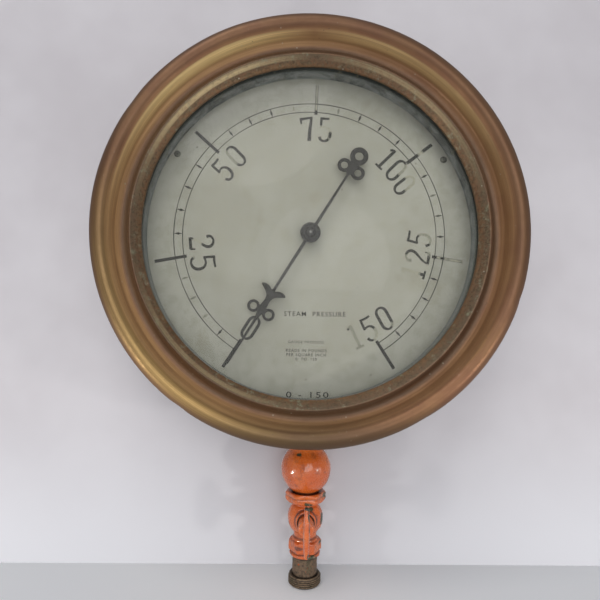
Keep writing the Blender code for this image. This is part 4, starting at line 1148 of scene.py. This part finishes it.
# waves round the hub, phase, height
HUB_WAVES = ((3, 0.3, 0.05), (5, 1.7, 0.05), (8, 4.0, 0.04), (13, 2.2, 0.03))


def hub_warp(radius, height, angle):
    bumps = np.zeros_like(radius)
    for waves, phase, amount in HUB_WAVES:
        bumps += amount * np.sin(waves * angle + phase + radius * 2.3)
    return radius, height + bumps * (radius < 5.6) * (radius > 0.3) * 1.5


back, front = face_span("pointer_hub")
hub_profile = smooth_line([
    (2.5, back), (2.5, 8.7), (7.4, 8.7), (7.85, 9.2), (7.85, 9.9), (7.5, 10.55), (6.8, 10.8),
    (6.1, 10.5), (5.7, 10.05), (4.6, 10.0), (4.0, 10.25), (3.3, 11.0), (2.5, front - 0.25),
    (1.0, front - 0.02), (0.0, front)], 4, sharp=(1, 2))
lathe("pointer_hub_cap", np.vstack([hub_profile, [(0.0, back)]]), 96, 'face', "pointer",
      warp=hub_warp, body="pointer_set", replaced=("pointer_hub",), slot="pointer_black")


# =============================================================================
# siphon, union, cock and inlet
# =============================================================================
def coordinates(mesh, field="co"):
    values = np.empty(len(mesh.vertices) * 3)
    mesh.vertices.foreach_get(field, values)
    return values.reshape(-1, 3)


def stem_coordinates(mesh, up=0.0):
    """Vertices from the stem axis and a level above BASE, as columns and as rows."""
    points = coordinates(mesh) * 1000.0 - np.array([0, STEM_Y, BASE + up])
    return points, *points.T


def push_out(mesh, distance):
    """Move vertices along their normals: soft lumps like brushed paint."""
    points = coordinates(mesh) * 1000.0 + coordinates(mesh, "normal") * distance[:, None]
    mesh.vertices.foreach_set("co", (points * MM).ravel())
    mesh.update()


def paint_marks(mesh, groove, chip):
    write_attribute(mesh, "groove", np.clip(groove, 0, 1))
    write_attribute(mesh, "chip", np.clip(chip, 0, 1))


def spots(points, *rows):
    """Sum of soft spots, each (strength, centre, radii)."""
    total = 0
    for strength, centre, radii in rows:
        distance = np.linalg.norm((points - np.array(centre)) / np.array(radii), axis=1)
        total = total + strength * np.exp(-distance * distance * 1.2)
    return total


def ridge(value, middle, width):
    return np.exp(-((value - middle) / width) ** 2)


def soft_min(first, second, softness):
    return -np.log(np.exp(-first / softness) + np.exp(-second / softness)) * softness


def flats(half_across, angle, phase=0.0):
    """Radius of a hexagon at an angle."""
    return half_across / np.cos(np.radians(np.mod(np.degrees(angle) - phase, 60.0) - 30.0))


def hexagon(angle, across, corner):
    """Radius of a hexagon with eased corners."""
    return soft_min(flats(across / 2, angle), corner + 0 * angle, 0.25)


# --- ball siphon ---------------------------------------------------------------
BALL_Z, BALL_R = 78.2, 20.2
BALL_INSIDE = BALL_R - 3.2
BALL_SKIN = slice(2, 82)                 # profile rows on the outside


def ball_arc(radius, low_radius, high_radius, count):
    """Arc of the ball upwards, between the radii where it is cut off."""
    angles = np.linspace(-math.acos(low_radius / radius), math.acos(high_radius / radius), count)
    return [(radius * math.cos(a), BALL_Z + radius * math.sin(a)) for a in angles]


def ball_warp(radius, height, angle):
    """Fillet at the neck and lumpy paint on the outside."""
    radius = radius.copy()
    skin_height = height[:, BALL_SKIN]
    radius[:, BALL_SKIN] += 1.6 * ridge(skin_height, 95.1, 1.5)
    grids = (radius[:, BALL_SKIN], angle[:, BALL_SKIN], skin_height)
    paint = (skin_lumps(*grids, scale=0.085, amount=0.34, seed=3.1, octaves=2)
             + skin_lumps(*grids, scale=0.33, amount=0.13, seed=9.7, octaves=2))
    radius[:, BALL_SKIN] += (paint - 0.25) * ease(skin_height, 61.4, 64.5) * 0.9
    return radius, height


ball_profile = np.vstack([
    [(9.7, 57.2), (9.7, 59.4)], ball_arc(BALL_R, 9.72, 11.5, 70)[1:],
    [(11.5, z) for z in np.linspace(95.4, 111.2, 10)],
    [(11.0, 111.8), (8.9, 111.8)], ball_arc(BALL_INSIDE, 6.3, 8.9, 16)[::-1], [(6.3, 57.2)]])
ball = lathe("siphon_ball", ball_profile, 220, 'stem', "orange", warp=ball_warp,
             replaced=("siphon_globe",), slot="orange_paint", sharp=60)
points, x, y, z = stem_coordinates(ball.data)
# the groove attribute paints shade at the neck, where the ball sits in the union nut
paint_marks(ball.data, groove=0.95 * ease(62.6 - z, 0, 1.4), chip=spots(
    points, (0.55, (-6, -13, 91), (5, 8, 4)), (0.42, (9, -15, 87), (3.5, 8, 3)),
    (0.34, (0, 0, 100), (16, 16, 7))) - 0.03)

# --- union collar ---------------------------------------------------------------
COLLAR_LOW, COLLAR_TOP = stem_span("union_collar")
COLLAR_WAIST = COLLAR_TOP - 3.1          # a shallow groove runs round here
collar_levels = np.concatenate([
    np.linspace(COLLAR_LOW, COLLAR_LOW + 2.2, 9),
    np.linspace(COLLAR_LOW + 2.6, COLLAR_TOP - 2.6, 9),
    np.linspace(COLLAR_TOP - 2.2, COLLAR_TOP, 9)])
COLLAR_SKIN = slice(2, 2 + len(collar_levels))


def collar_warp(radius, height, angle):
    """Hexagon with both ends chamfered, a waist and lumpy paint."""
    radius = radius.copy()
    level, turn = height[:, COLLAR_SKIN], angle[:, COLLAR_SKIN]
    top = 16.55 - 1.9 * np.clip(1 - (COLLAR_TOP - level) / 2.0, 0, 1) ** 1.6
    bottom = 16.55 - 2.5 * np.clip(1 - (level - COLLAR_LOW) / 2.4, 0, 1) ** 1.5
    skin = (soft_min(hexagon(turn, across=29.0, corner=16.35), np.minimum(top, bottom), 0.3)
            - 0.35 * ridge(level, COLLAR_WAIST, 0.8))
    paint = skin_lumps(skin, turn, level, scale=0.16, amount=0.34, seed=5.5, octaves=3)
    radius[:, COLLAR_SKIN] = np.minimum(skin + paint, 16.7)
    return radius, height


collar = lathe("union_nut",
               [(10.4, COLLAR_LOW + 0.02), (12.0, COLLAR_LOW + 0.01)]
               + [(14.0, z) for z in collar_levels]
               + [(11.8, COLLAR_TOP - 0.01), (11.3, COLLAR_TOP - 0.4), (10.1, COLLAR_TOP - 1.3)],
               240, 'stem', "orange", warp=collar_warp, replaced=("union_collar",),
               slot="orange_paint", sharp=60)
points, x, y, z = stem_coordinates(collar.data)
# the groove attribute paints shade in the recess under the ball and round the waist
paint_marks(
    collar.data,
    groove=np.maximum(
        ease(13.6 - np.hypot(x, y), 0, 0.9) * ease(z, COLLAR_TOP - 3, COLLAR_TOP - 1),
        0.55 * ridge(z, COLLAR_WAIST, 0.5)),
    chip=spots(points, (0.80, (1.5, -14, COLLAR_LOW + 0.8), (5.5, 5, 2.4)),
               (0.80, (15.2, -3, COLLAR_LOW + 4.5), (3, 9, 4)),
               (0.55, (12, -9, COLLAR_TOP), (3.5, 5, 2)),
               (0.3, (-15, -3, COLLAR_TOP), (3, 6, 2))) - 0.03)

# --- cock body ------------------------------------------------------------------
COCK_Z, COCK_R = 40.1, 14.1


def hex_block(across, corner, bottom, top, bottom_chamfer, top_chamfer):
    """Hexagonal solid on the stem with chamfered ends."""
    rows = slice(1, 25)

    def warp(radius, height, angle):
        radius = radius.copy()
        level = height[:, rows]
        upper = corner + 0.3 - top_chamfer * np.clip(1 - (top - level) / top_chamfer, 0, 1) ** 1.5
        lower = (corner + 0.3
                 - bottom_chamfer * np.clip(1 - (level - bottom) / bottom_chamfer, 0, 1) ** 1.5)
        radius[:, rows] = soft_min(hexagon(angle[:, rows], across, corner),
                                   np.minimum(upper, lower), 0.2)
        return radius, height
    return tool([(0, bottom)] + [(corner, z) for z in np.linspace(bottom, top, 24)] + [(0, top)],
                segments=144, warp=warp)


def build_cock():
    foot = stem_span("cock_body")[0]
    globe_angles = np.linspace(-math.acos(9.3 / COCK_R), math.acos(9.6 / COCK_R), 40)
    globe = [(COCK_R * math.cos(a), COCK_Z + COCK_R * math.sin(a)) for a in globe_angles]
    parts = [
        tool([(0, 20.0), (10.0, 20.0), (10.0, 24.4), (8.9, 26.2)] + globe
             + [(9.6, 56.8), (0, 56.8)]),
        hex_block(across=23.1, corner=13.1, bottom=15.2, top=23.2, bottom_chamfer=0.5,
                  top_chamfer=1.5),
        # round foot, the band above it, and the boss along the plug axis
        tool(smooth_line([(0, foot), (11.1, foot), (12.0, foot + 0.5), (12.15, foot + 1.3),
                          (12.15, 13.6), (11.8, 14.1), (0, 14.3)], 5, sharp=(1, 5))),
        tool([(0, 13.0), (11.1, 13.0), (11.0, 15.8), (0, 15.8)]),
        tool([(0, -14.6), (7.3, -14.6), (8.0, -13.9), (8.0, 12.7), (7.4, 13.4), (0, 13.4)],
             'plug')]
    mesh = fuse("cock_casting", parts, voxel=0.30, smoothing=3)
    push_out(mesh, lumps(coordinates(mesh) * 1000.0, scale=0.17, amount=0.30, seed=2.3, octaves=3))
    cock = place("cock_casting", mesh, "orange", body=None, sharp=None)
    boolean(cock, [tool([(0, -20.0), (6.75, -20.0), (5.3, 20.0), (0, 20.0)], 'plug'),
                   stem_rod(10.15, 0.0, 21.8, segments=96), stem_rod(4.0, 18.0, 70.0, segments=48)])

    points, x, y, z = stem_coordinates(cock.data)
    off_stem = np.hypot(x, y)
    off_plug = np.hypot(x, z - PLUG_Z)
    depth = np.abs(y)
    # painted shade: joints between the tiers, round the plug boss, in the plug bore, at both ends
    # where the nipple and the ball sit, and the shadow the globe casts on the hexagon top
    painted_shade_grooves = [
        ridge(z, 14.7, 0.6) * ease(off_stem, 13.9, 11.4),
        0.8 * ridge(z, 25.6, 0.9) * ease(off_stem, 11.4, 9.8),
        0.9 * ridge(off_plug, 8.4, 0.7) * (depth > 10.4) * (depth < 12.6),
        ease(7.3 - off_plug, 0, 0.5) * (depth > 9) * (z > 29) * (z < 51),
        0.9 * ease(12.4 - z, 0, 0.6) + 0.8 * ease(z, 51.4, 52.6),
        0.85 * ease(spots(points, (1, (-6.2, -11.5, 19.6), (6.0, 4.5, 2.2))), 0.35, 0.7)]
    paint_marks(cock.data, groove=np.maximum.reduce(painted_shade_grooves), chip=spots(
        points, (0.85, (5, -12, 50), (4.5, 5, 3.5)), (0.80, (13.0, -5, 41), (2.6, 6, 7)),
        (0.95, (5.5, -10.5, 12.6), (4.4, 6, 2.6)), (0.62, (-11.5, -5, 14), (2.2, 5, 2.5)),
        (0.75, (12, -5, 21), (2.5, 6, 4)), (0.6, (0, -12, 11.6), (12, 6, 1.2)),
        (0.4, (-6, -12, 33), (5, 5, 3)), (0.5, (9, -8, 28), (3.5, 6, 3.5)),
        (0.45, (-13, -4, 36), (2, 5, 4))) - 0.01)
    dress(cock, replaced=("cock_body",), slot="orange_paint", sharp=50)


build_cock()

# --- plug with its thumb lever ------------------------------------------------------
# height from the plug axis, half thickness in x, front y and back y from the stem axis
LEVER = [(18.3, 0.8, -33.6, -31.4), (17.7, 1.5, -34.6, -29.9), (16.2, 1.8, -35.4, -28.6),
         (12.5, 2.0, -36.7, -27.2), (5.5, 2.45, -37.9, -24.9)]
LEVER += [(-row[0], *row[1:]) for row in LEVER[::-1]]


def lever_solid():
    count = 40
    angle = np.linspace(0, 2 * np.pi, count, endpoint=False)
    cosine, sine = np.cos(angle), np.sin(angle)
    rows = [np.stack([
        half * np.sign(cosine) * np.abs(cosine) ** 0.75,
        STEM_Y + (front + back) / 2 + (back - front) / 2 * np.sign(sine) * np.abs(sine) ** 0.9,
        BASE + PLUG_Z + z + 0 * angle], 1) for z, half, front, back in smooth_line(LEVER)]
    faces = grid_faces(len(rows), count, False, True)
    faces += [tuple(range(count))[::-1], tuple(count * (len(rows) - 1) + i for i in range(count))]
    return add_mesh("tool", np.vstack(rows), faces, "orange", body=None)


def build_plug():
    cone = tool([(0, -13.6), (5.9, -13.6), (6.17, -13.2), (5.24, 13.0), (0, 13.0)], 'plug')
    neck = tool(smooth_line([(0, -27.4), (5.0, -27.4), (5.75, -26.6), (5.9, -20.0),
                             (6.0, -15.6), (6.1, -13.5), (0, -13.0)], 5, sharp=(1, 5)), 'plug')
    stud = tool([(0, 12.5), (3.2, 12.5), (3.2, 21.2), (2.6, 21.8), (0, 21.8)], 'plug', 48)
    mesh = fuse("plug_lever", [lever_solid(), cone, neck, stud], voxel=0.28, smoothing=3)
    points, x, y, z = stem_coordinates(mesh)
    push_out(mesh, lumps(points, scale=0.2, amount=0.26, seed=7.7, octaves=3)
             * ease(-13.8 - y, 0.0, 2.0))
    plug = place("plug_lever", mesh, "orange", body=None, sharp=None)
    boolean(plug, [stem_rod(3.6, PLUG_Z - 12, PLUG_Z + 12, segments=48)])

    points, x, y, z = stem_coordinates(plug.data, up=PLUG_Z)
    # painted shade where the neck meets the boss and under the root of the lever
    groove = np.maximum(
        0.9 * ridge(y, -15.2, 1.0),
        0.5 * ease(5.9 - np.abs(x), 0, 1.2) * ease(y, -27.4, -24.8) * (np.hypot(x, z) < 5.4))
    chip = spots(points, (0.95, (2.0, -34, 12.5), (1.7, 8, 5.0)),
                 (0.75, (2.4, -36, 3.5), (1.2, 5, 3.4)), (0.8, (1.8, -33, -15.5), (2.5, 6, 3)),
                 (0.75, (0, -34, 18.0), (3, 4, 1.8)))
    chip = chip + 0.5 * ease(y, 12.5, 14.0) + spots(points, (0.35, (-4, -20, 3), (2.5, 8, 5)))
    paint_marks(plug.data, groove, chip - 0.01)
    dress(plug, body="plug_set", replaced=("cock_plug",), slot="orange_paint", sharp=50)


build_plug()

front, back = plug_span("plug_washer")
lathe("cock_washer", [(3.5, front), (7.3, front), (7.6, front + 0.25), (7.6, back - 0.25),
                      (7.3, back), (3.5, back)],
      96, 'plug', "bright_brass", body="plug_set", replaced=("plug_washer",), slot="bright_brass")

NUT_RADIUS = 6.4
NUT_FRONT, NUT_BACK = plug_span("plug_nut")
nut_size = np.abs(cad("plug_nut")[1] - cad("plug_nut")[0])
NUT_PHASE = 0.0 if nut_size[2] > nut_size[0] else 30.0   # corners up, or corners aside


def nut_warp(radius, height, angle):
    radius = radius.copy()
    rows = slice(1, 17)
    from_end = np.minimum(height[:, rows] - NUT_FRONT, NUT_BACK - height[:, rows])
    limit = 6.42 - 1.0 * np.clip(1 - from_end / 0.9, 0, 1) ** 1.4
    sides = flats(NUT_RADIUS * math.cos(math.pi / 6), angle[:, rows], NUT_PHASE)
    radius[:, rows] = np.minimum(soft_min(sides, limit, 0.08), NUT_RADIUS)
    return radius, height


lathe("cock_nut",
      [(3.5, NUT_FRONT)] + [(6.0, y) for y in np.linspace(NUT_FRONT, NUT_BACK, 16)]
      + [(3.9, NUT_BACK), (3.5, NUT_BACK - 0.4)],
      144, 'plug', "bright_brass", warp=nut_warp, body="plug_set", replaced=("plug_nut",),
      slot="bright_brass")

# --- inlet nipple and threaded ring -----------------------------------------------
NIPPLE_RADIUS = cad("inlet_nipple")[1][0]


def nipple_warp(radius, height, angle):
    """Slightly bitten surface, stretched along the pipe."""
    radius = radius.copy()
    rows = slice(1, 121)
    bite = skin_lumps(radius[:, rows], angle[:, rows], height[:, rows] * 0.35,
                      scale=0.55, amount=0.28, seed=4.4, octaves=3)
    radius[:, rows] = np.minimum(NIPPLE_RADIUS - 0.12 + bite * 0.8, NIPPLE_RADIUS)
    return radius, height


lathe("pipe_nipple",
      [(5.9, -8.6)] + [(NIPPLE_RADIUS, z) for z in np.linspace(-8.5, 21.1, 120)]
      + [(NIPPLE_RADIUS - 0.6, 21.5), (5.9, 21.5)],
      160, 'stem', "pipe", warp=nipple_warp, replaced=("inlet_nipple",), slot="dark_pipe",
      # groove paints shade where the nipple goes into the threaded ring and into the cock
      attributes={"groove": lambda radius, height, angle: np.maximum(
                      ease(-1.6 - height, 0, 1.2), ease(height, 9.3, 10.7)),
                  "crest": lambda radius, height, angle: 0 * radius})

THREAD_RADIUS = cad("inlet_ring")[1][0]
THREAD_LOW = FOOT - BASE
THREAD_LENGTH = cad("inlet_ring")[1][2] - FOOT
THREAD_PITCH = 1.45


def thread_phase(height, angle):
    """Place within a turn of the thread: 0 and 1 on the crest, 0.5 in the root."""
    return np.mod(height / THREAD_PITCH - angle / (2 * np.pi), 1.0)


def thread_warp(radius, height, angle):
    radius = radius.copy()
    rows = slice(1, 111)
    level = height[:, rows] - THREAD_LOW
    from_top = THREAD_LENGTH - level
    vee = np.abs(thread_phase(height[:, rows], angle[:, rows]) - 0.5) * 2
    cut = 0.52 * (1 - ease(vee, 0.18, 0.9))
    limit = (THREAD_RADIUS - 0.9 * np.clip(1 - level / 0.9, 0, 1)
             - 1.1 * np.clip(1 - from_top / 1.3, 0, 1))
    nick = np.clip(skin_lumps(12, angle[:, rows], level, scale=0.3, amount=0.5, seed=8.8,
                              octaves=3), -0.4, 0.0)
    radius[:, rows] = np.minimum(
        limit - cut * ease(level, 0.2, 1.2) * ease(from_top, 0.3, 1.6) + nick * 0.7,
        THREAD_RADIUS)
    return radius, height


# painted shade in the thread roots and in the bore
def thread_groove(radius, height, angle):
    return ((np.abs(thread_phase(height, angle) - 0.5) < 0.25) * (radius > 11.3) * 0.8
            + (radius < 11.0) * 0.5)


def thread_crest(radius, height, angle):
    phase = thread_phase(height, angle)
    return ((phase < 0.12) + (phase > 0.88)) * (radius > 11.6) * 0.8


thread_levels = np.linspace(0.0, THREAD_LENGTH, 110) + THREAD_LOW
thread_top = THREAD_LOW + THREAD_LENGTH
lathe("threaded_ring",
      [(10.15, THREAD_LOW)] + [(THREAD_RADIUS, z) for z in thread_levels]
      + [(10.8, thread_top), (10.15, thread_top - 0.3)],
      200, 'stem', "pipe", warp=thread_warp, replaced=("inlet_ring",), slot="dark_pipe",
      attributes={"groove": thread_groove, "crest": thread_crest}, sharp=60)


# --- forged socket: hexagon, shank through the case, tube block and tang -------------
def block(x_span, y_span, z_span):
    """Box from the stem axis and BASE."""
    (x0, x1), (y0, y1) = x_span, y_span
    verts = [(x, STEM_Y + y, BASE + z)
             for z in z_span for x, y in ((x0, y0), (x1, y0), (x1, y1), (x0, y1))]
    faces = [(0, 3, 2, 1), (4, 5, 6, 7), (0, 1, 5, 4), (1, 2, 6, 5), (2, 3, 7, 6), (3, 0, 4, 7)]
    return add_mesh("tool", verts, faces, "bronze", body=None)


def face_hole(x, z, radius):
    """Cutter along Y, behind the dial."""
    cutter = tool([(0, -46.0), (radius, -46.0), (radius, -28.0), (0, -28.0)], 'face', 40)
    cutter.data.transform(Matrix.Translation((x * MM, 0, z * MM)))
    return cutter


SOCKET_HOLES = [(-29, -104, 2.3), (29, -104, 2.3), (0, -72, 1.9), (-4, -32, 1.9)]  # x, z, radius

socket_mesh = fuse("socket_forging", [
    stem_rod(8.6, 104.0, 113.0), stem_rod(11.5, 112.2, 124.2, segments=96),
    stem_rod(13.0, 124.2, 156.0, segments=128),
    hex_block(across=27.0, corner=15.2, bottom=112.2, top=123.6, bottom_chamfer=1.1,
              top_chamfer=1.1),
    block((-20, 20), (-11.5, 11), (153, 184)), block((-37, 37), (10.5, 16.3), (154, 166)),
    block((-12, 12), (10.5, 16.0), (160, 244))], voxel=0.42, smoothing=1)
socket = place("socket_forging", socket_mesh, "bronze", body=None, sharp=None)
boolean(socket, [stem_rod(3.2, 100, 176, segments=40)] + [face_hole(*h) for h in SOCKET_HOLES])
dress(socket, replaced=("socket",), slot="bronze", sharp=50)


# =============================================================================
# CAD pieces: finishes by name
# =============================================================================
BRONZE_NODES = ("socket", "siphon_tube", "tube_tip")
STEEL_NODES = ("link", "sector_arbor", "center_arbor", "hairspring")
for name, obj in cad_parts.items():
    finish = "bright_brass"
    if name in BRONZE_NODES:
        finish = "bronze"
    elif name in STEEL_NODES or "screw" in name or name.endswith("_pin"):
        finish = "steel"
    obj.data.materials.clear()
    obj.data.materials.append(MATERIALS[finish])


# =============================================================================
# stage, in metres: pale floor and backdrop, soft light, camera
# =============================================================================
def pale_floor():
    look = Look("pale_floor")
    cloud = look.noise(scale=0.006)
    look.base(rgb(248, 249, 253), rgb(251, 252, 255), cloud.ease(0.3, 0.7))
    return look.finish(rough=0.85, metal=0.0, normal=look.bump(cloud, strength=0.2, depth=1.5))


def pale_backdrop():
    """Matt from the front, clear from behind, with painted light making it paler towards the floor.
    """
    look = Look("pale_backdrop")
    cloud = look.noise(scale=0.005, rough=0.6)
    look.base(rgb(194, 190, 194), rgb(207, 204, 208), cloud.ease(0.3, 0.7))
    # painted light: paler towards the floor
    look.coat(rgb(216, 216, 221), look.xyz()[2].ease(-120.0, -275.0))
    look.finish(rough=0.9, metal=0.0)
    look.put(look.surface, look.node("ShaderNodeMixShader", {
        0: look.node("ShaderNodeNewGeometry", output="Backfacing"),
        1: Wire(look, look.shader.outputs[0]),
        2: look.node("ShaderNodeBsdfTransparent")}))
    return look.material


def stage_plane(name, verts, material):
    mesh = bpy.data.meshes.new(name)
    mesh.from_pydata(verts, [], [(0, 1, 2, 3)])
    obj = new_object(name, mesh)
    mesh.materials.append(material)
    return obj


floor_material = pale_floor()
backdrop_material = pale_backdrop()
floor_z = FOOT * MM - 0.0004
wall_y = BACK_Y * MM + 0.004
REACH = 4                                # half width of floor and backdrop
floor = stage_plane("floor", [(-REACH, -REACH, floor_z), (REACH, -REACH, floor_z),
                              (REACH, REACH, floor_z), (-REACH, REACH, floor_z)],
                    floor_material)
wall = stage_plane("backdrop", [(-REACH, wall_y, floor_z), (REACH, wall_y, floor_z),
                                (REACH, wall_y, 3), (-REACH, wall_y, 3)], backdrop_material)
wall.visible_shadow = False
wall.visible_diffuse = False             # the case back behind it is lit by the sky
wall.visible_glossy = False

scene = bpy.context.scene
world = bpy.data.worlds.new("studio")
scene.world = world
world.use_nodes = True
sky = Graph(world.node_tree)
background = world.node_tree.nodes["Background"]
sky_height = sky.split(sky.node("ShaderNodeTexCoord", output="Generated"))[2]
sky.put(background.inputs["Color"], sky.ramp(
    sky_height.ease(-1.0, 1.0, interpolation='LINEAR'),
    [(0.25, (0.50, 0.50, 0.52, 1)), (0.85, (0.62, 0.63, 0.66, 1))]))
sky.put(background.inputs["Strength"], 0.50)


def lamp(name, position, target, size, power, colour=(1, 1, 1)):
    light = bpy.data.lights.new(name, 'AREA')
    light.shape = 'DISK'
    light.size = size
    light.energy = power
    light.color = colour
    light.spread = math.pi
    obj = new_object(name, light)
    obj.location = position
    obj.rotation_euler = (Vector(target) - Vector(position)).to_track_quat('-Z', 'Y').to_euler()
    return obj


dial_centre = Vector((0, FACE * MM, 0))
ball_centre = Vector((0, STEM_Y * MM, (BASE + BALL_Z) * MM))
lamp("sky_soft", (-0.5, -1.3, 1.5), dial_centre, size=1.6, power=17, colour=(1.0, 0.99, 0.97))
low_lamps = [
    lamp(name, ball_centre + Vector(direction) * 0.5, ball_centre, size=0.030, power=0.40,
         colour=(1.0, 0.98, 0.94))
    for name, direction in (("left_low", (-0.845, -0.511, -0.159)),
                            ("right_low", (0.779, -0.625, -0.053)))]
lamp("front_fill", (0.3, -2.2, 0.1), dial_centre, size=1.6, power=15)

# the two low lamps stand close to the floor and would leave bright pools on it
unlit = bpy.data.collections.new("not_lit_by_low_lamps")
unlit.objects.link(floor)
unlit.collection_objects[0].light_linking.link_state = 'EXCLUDE'
for obj in low_lamps:
    obj.light_linking.receiver_collection = unlit

camera_data = bpy.data.cameras.new("camera")
camera_data.lens = 27.6
camera_data.sensor_width = 36.0
camera_data.sensor_fit = 'HORIZONTAL'
camera_data.shift_x = -0.00167
camera_data.clip_start = 0.01
camera = new_object("camera", camera_data)
# axes from the rough right-hand direction and the viewing direction
right = Vector((0.99968, -0.02013, 0.01508)).normalized()
backward = (-Vector((0.01904, 0.99742, 0.06923))).normalized()
upward = backward.cross(right).normalized()
right = upward.cross(backward)
camera.matrix_world = (
    Matrix.Translation(dial_centre + Vector((-0.01326, -0.35969, -0.07672)))
    @ Matrix((right, upward, backward)).transposed().to_4x4())
scene.camera = camera
scene.view_settings.view_transform = 'Standard'
scene.view_settings.look = 'None'
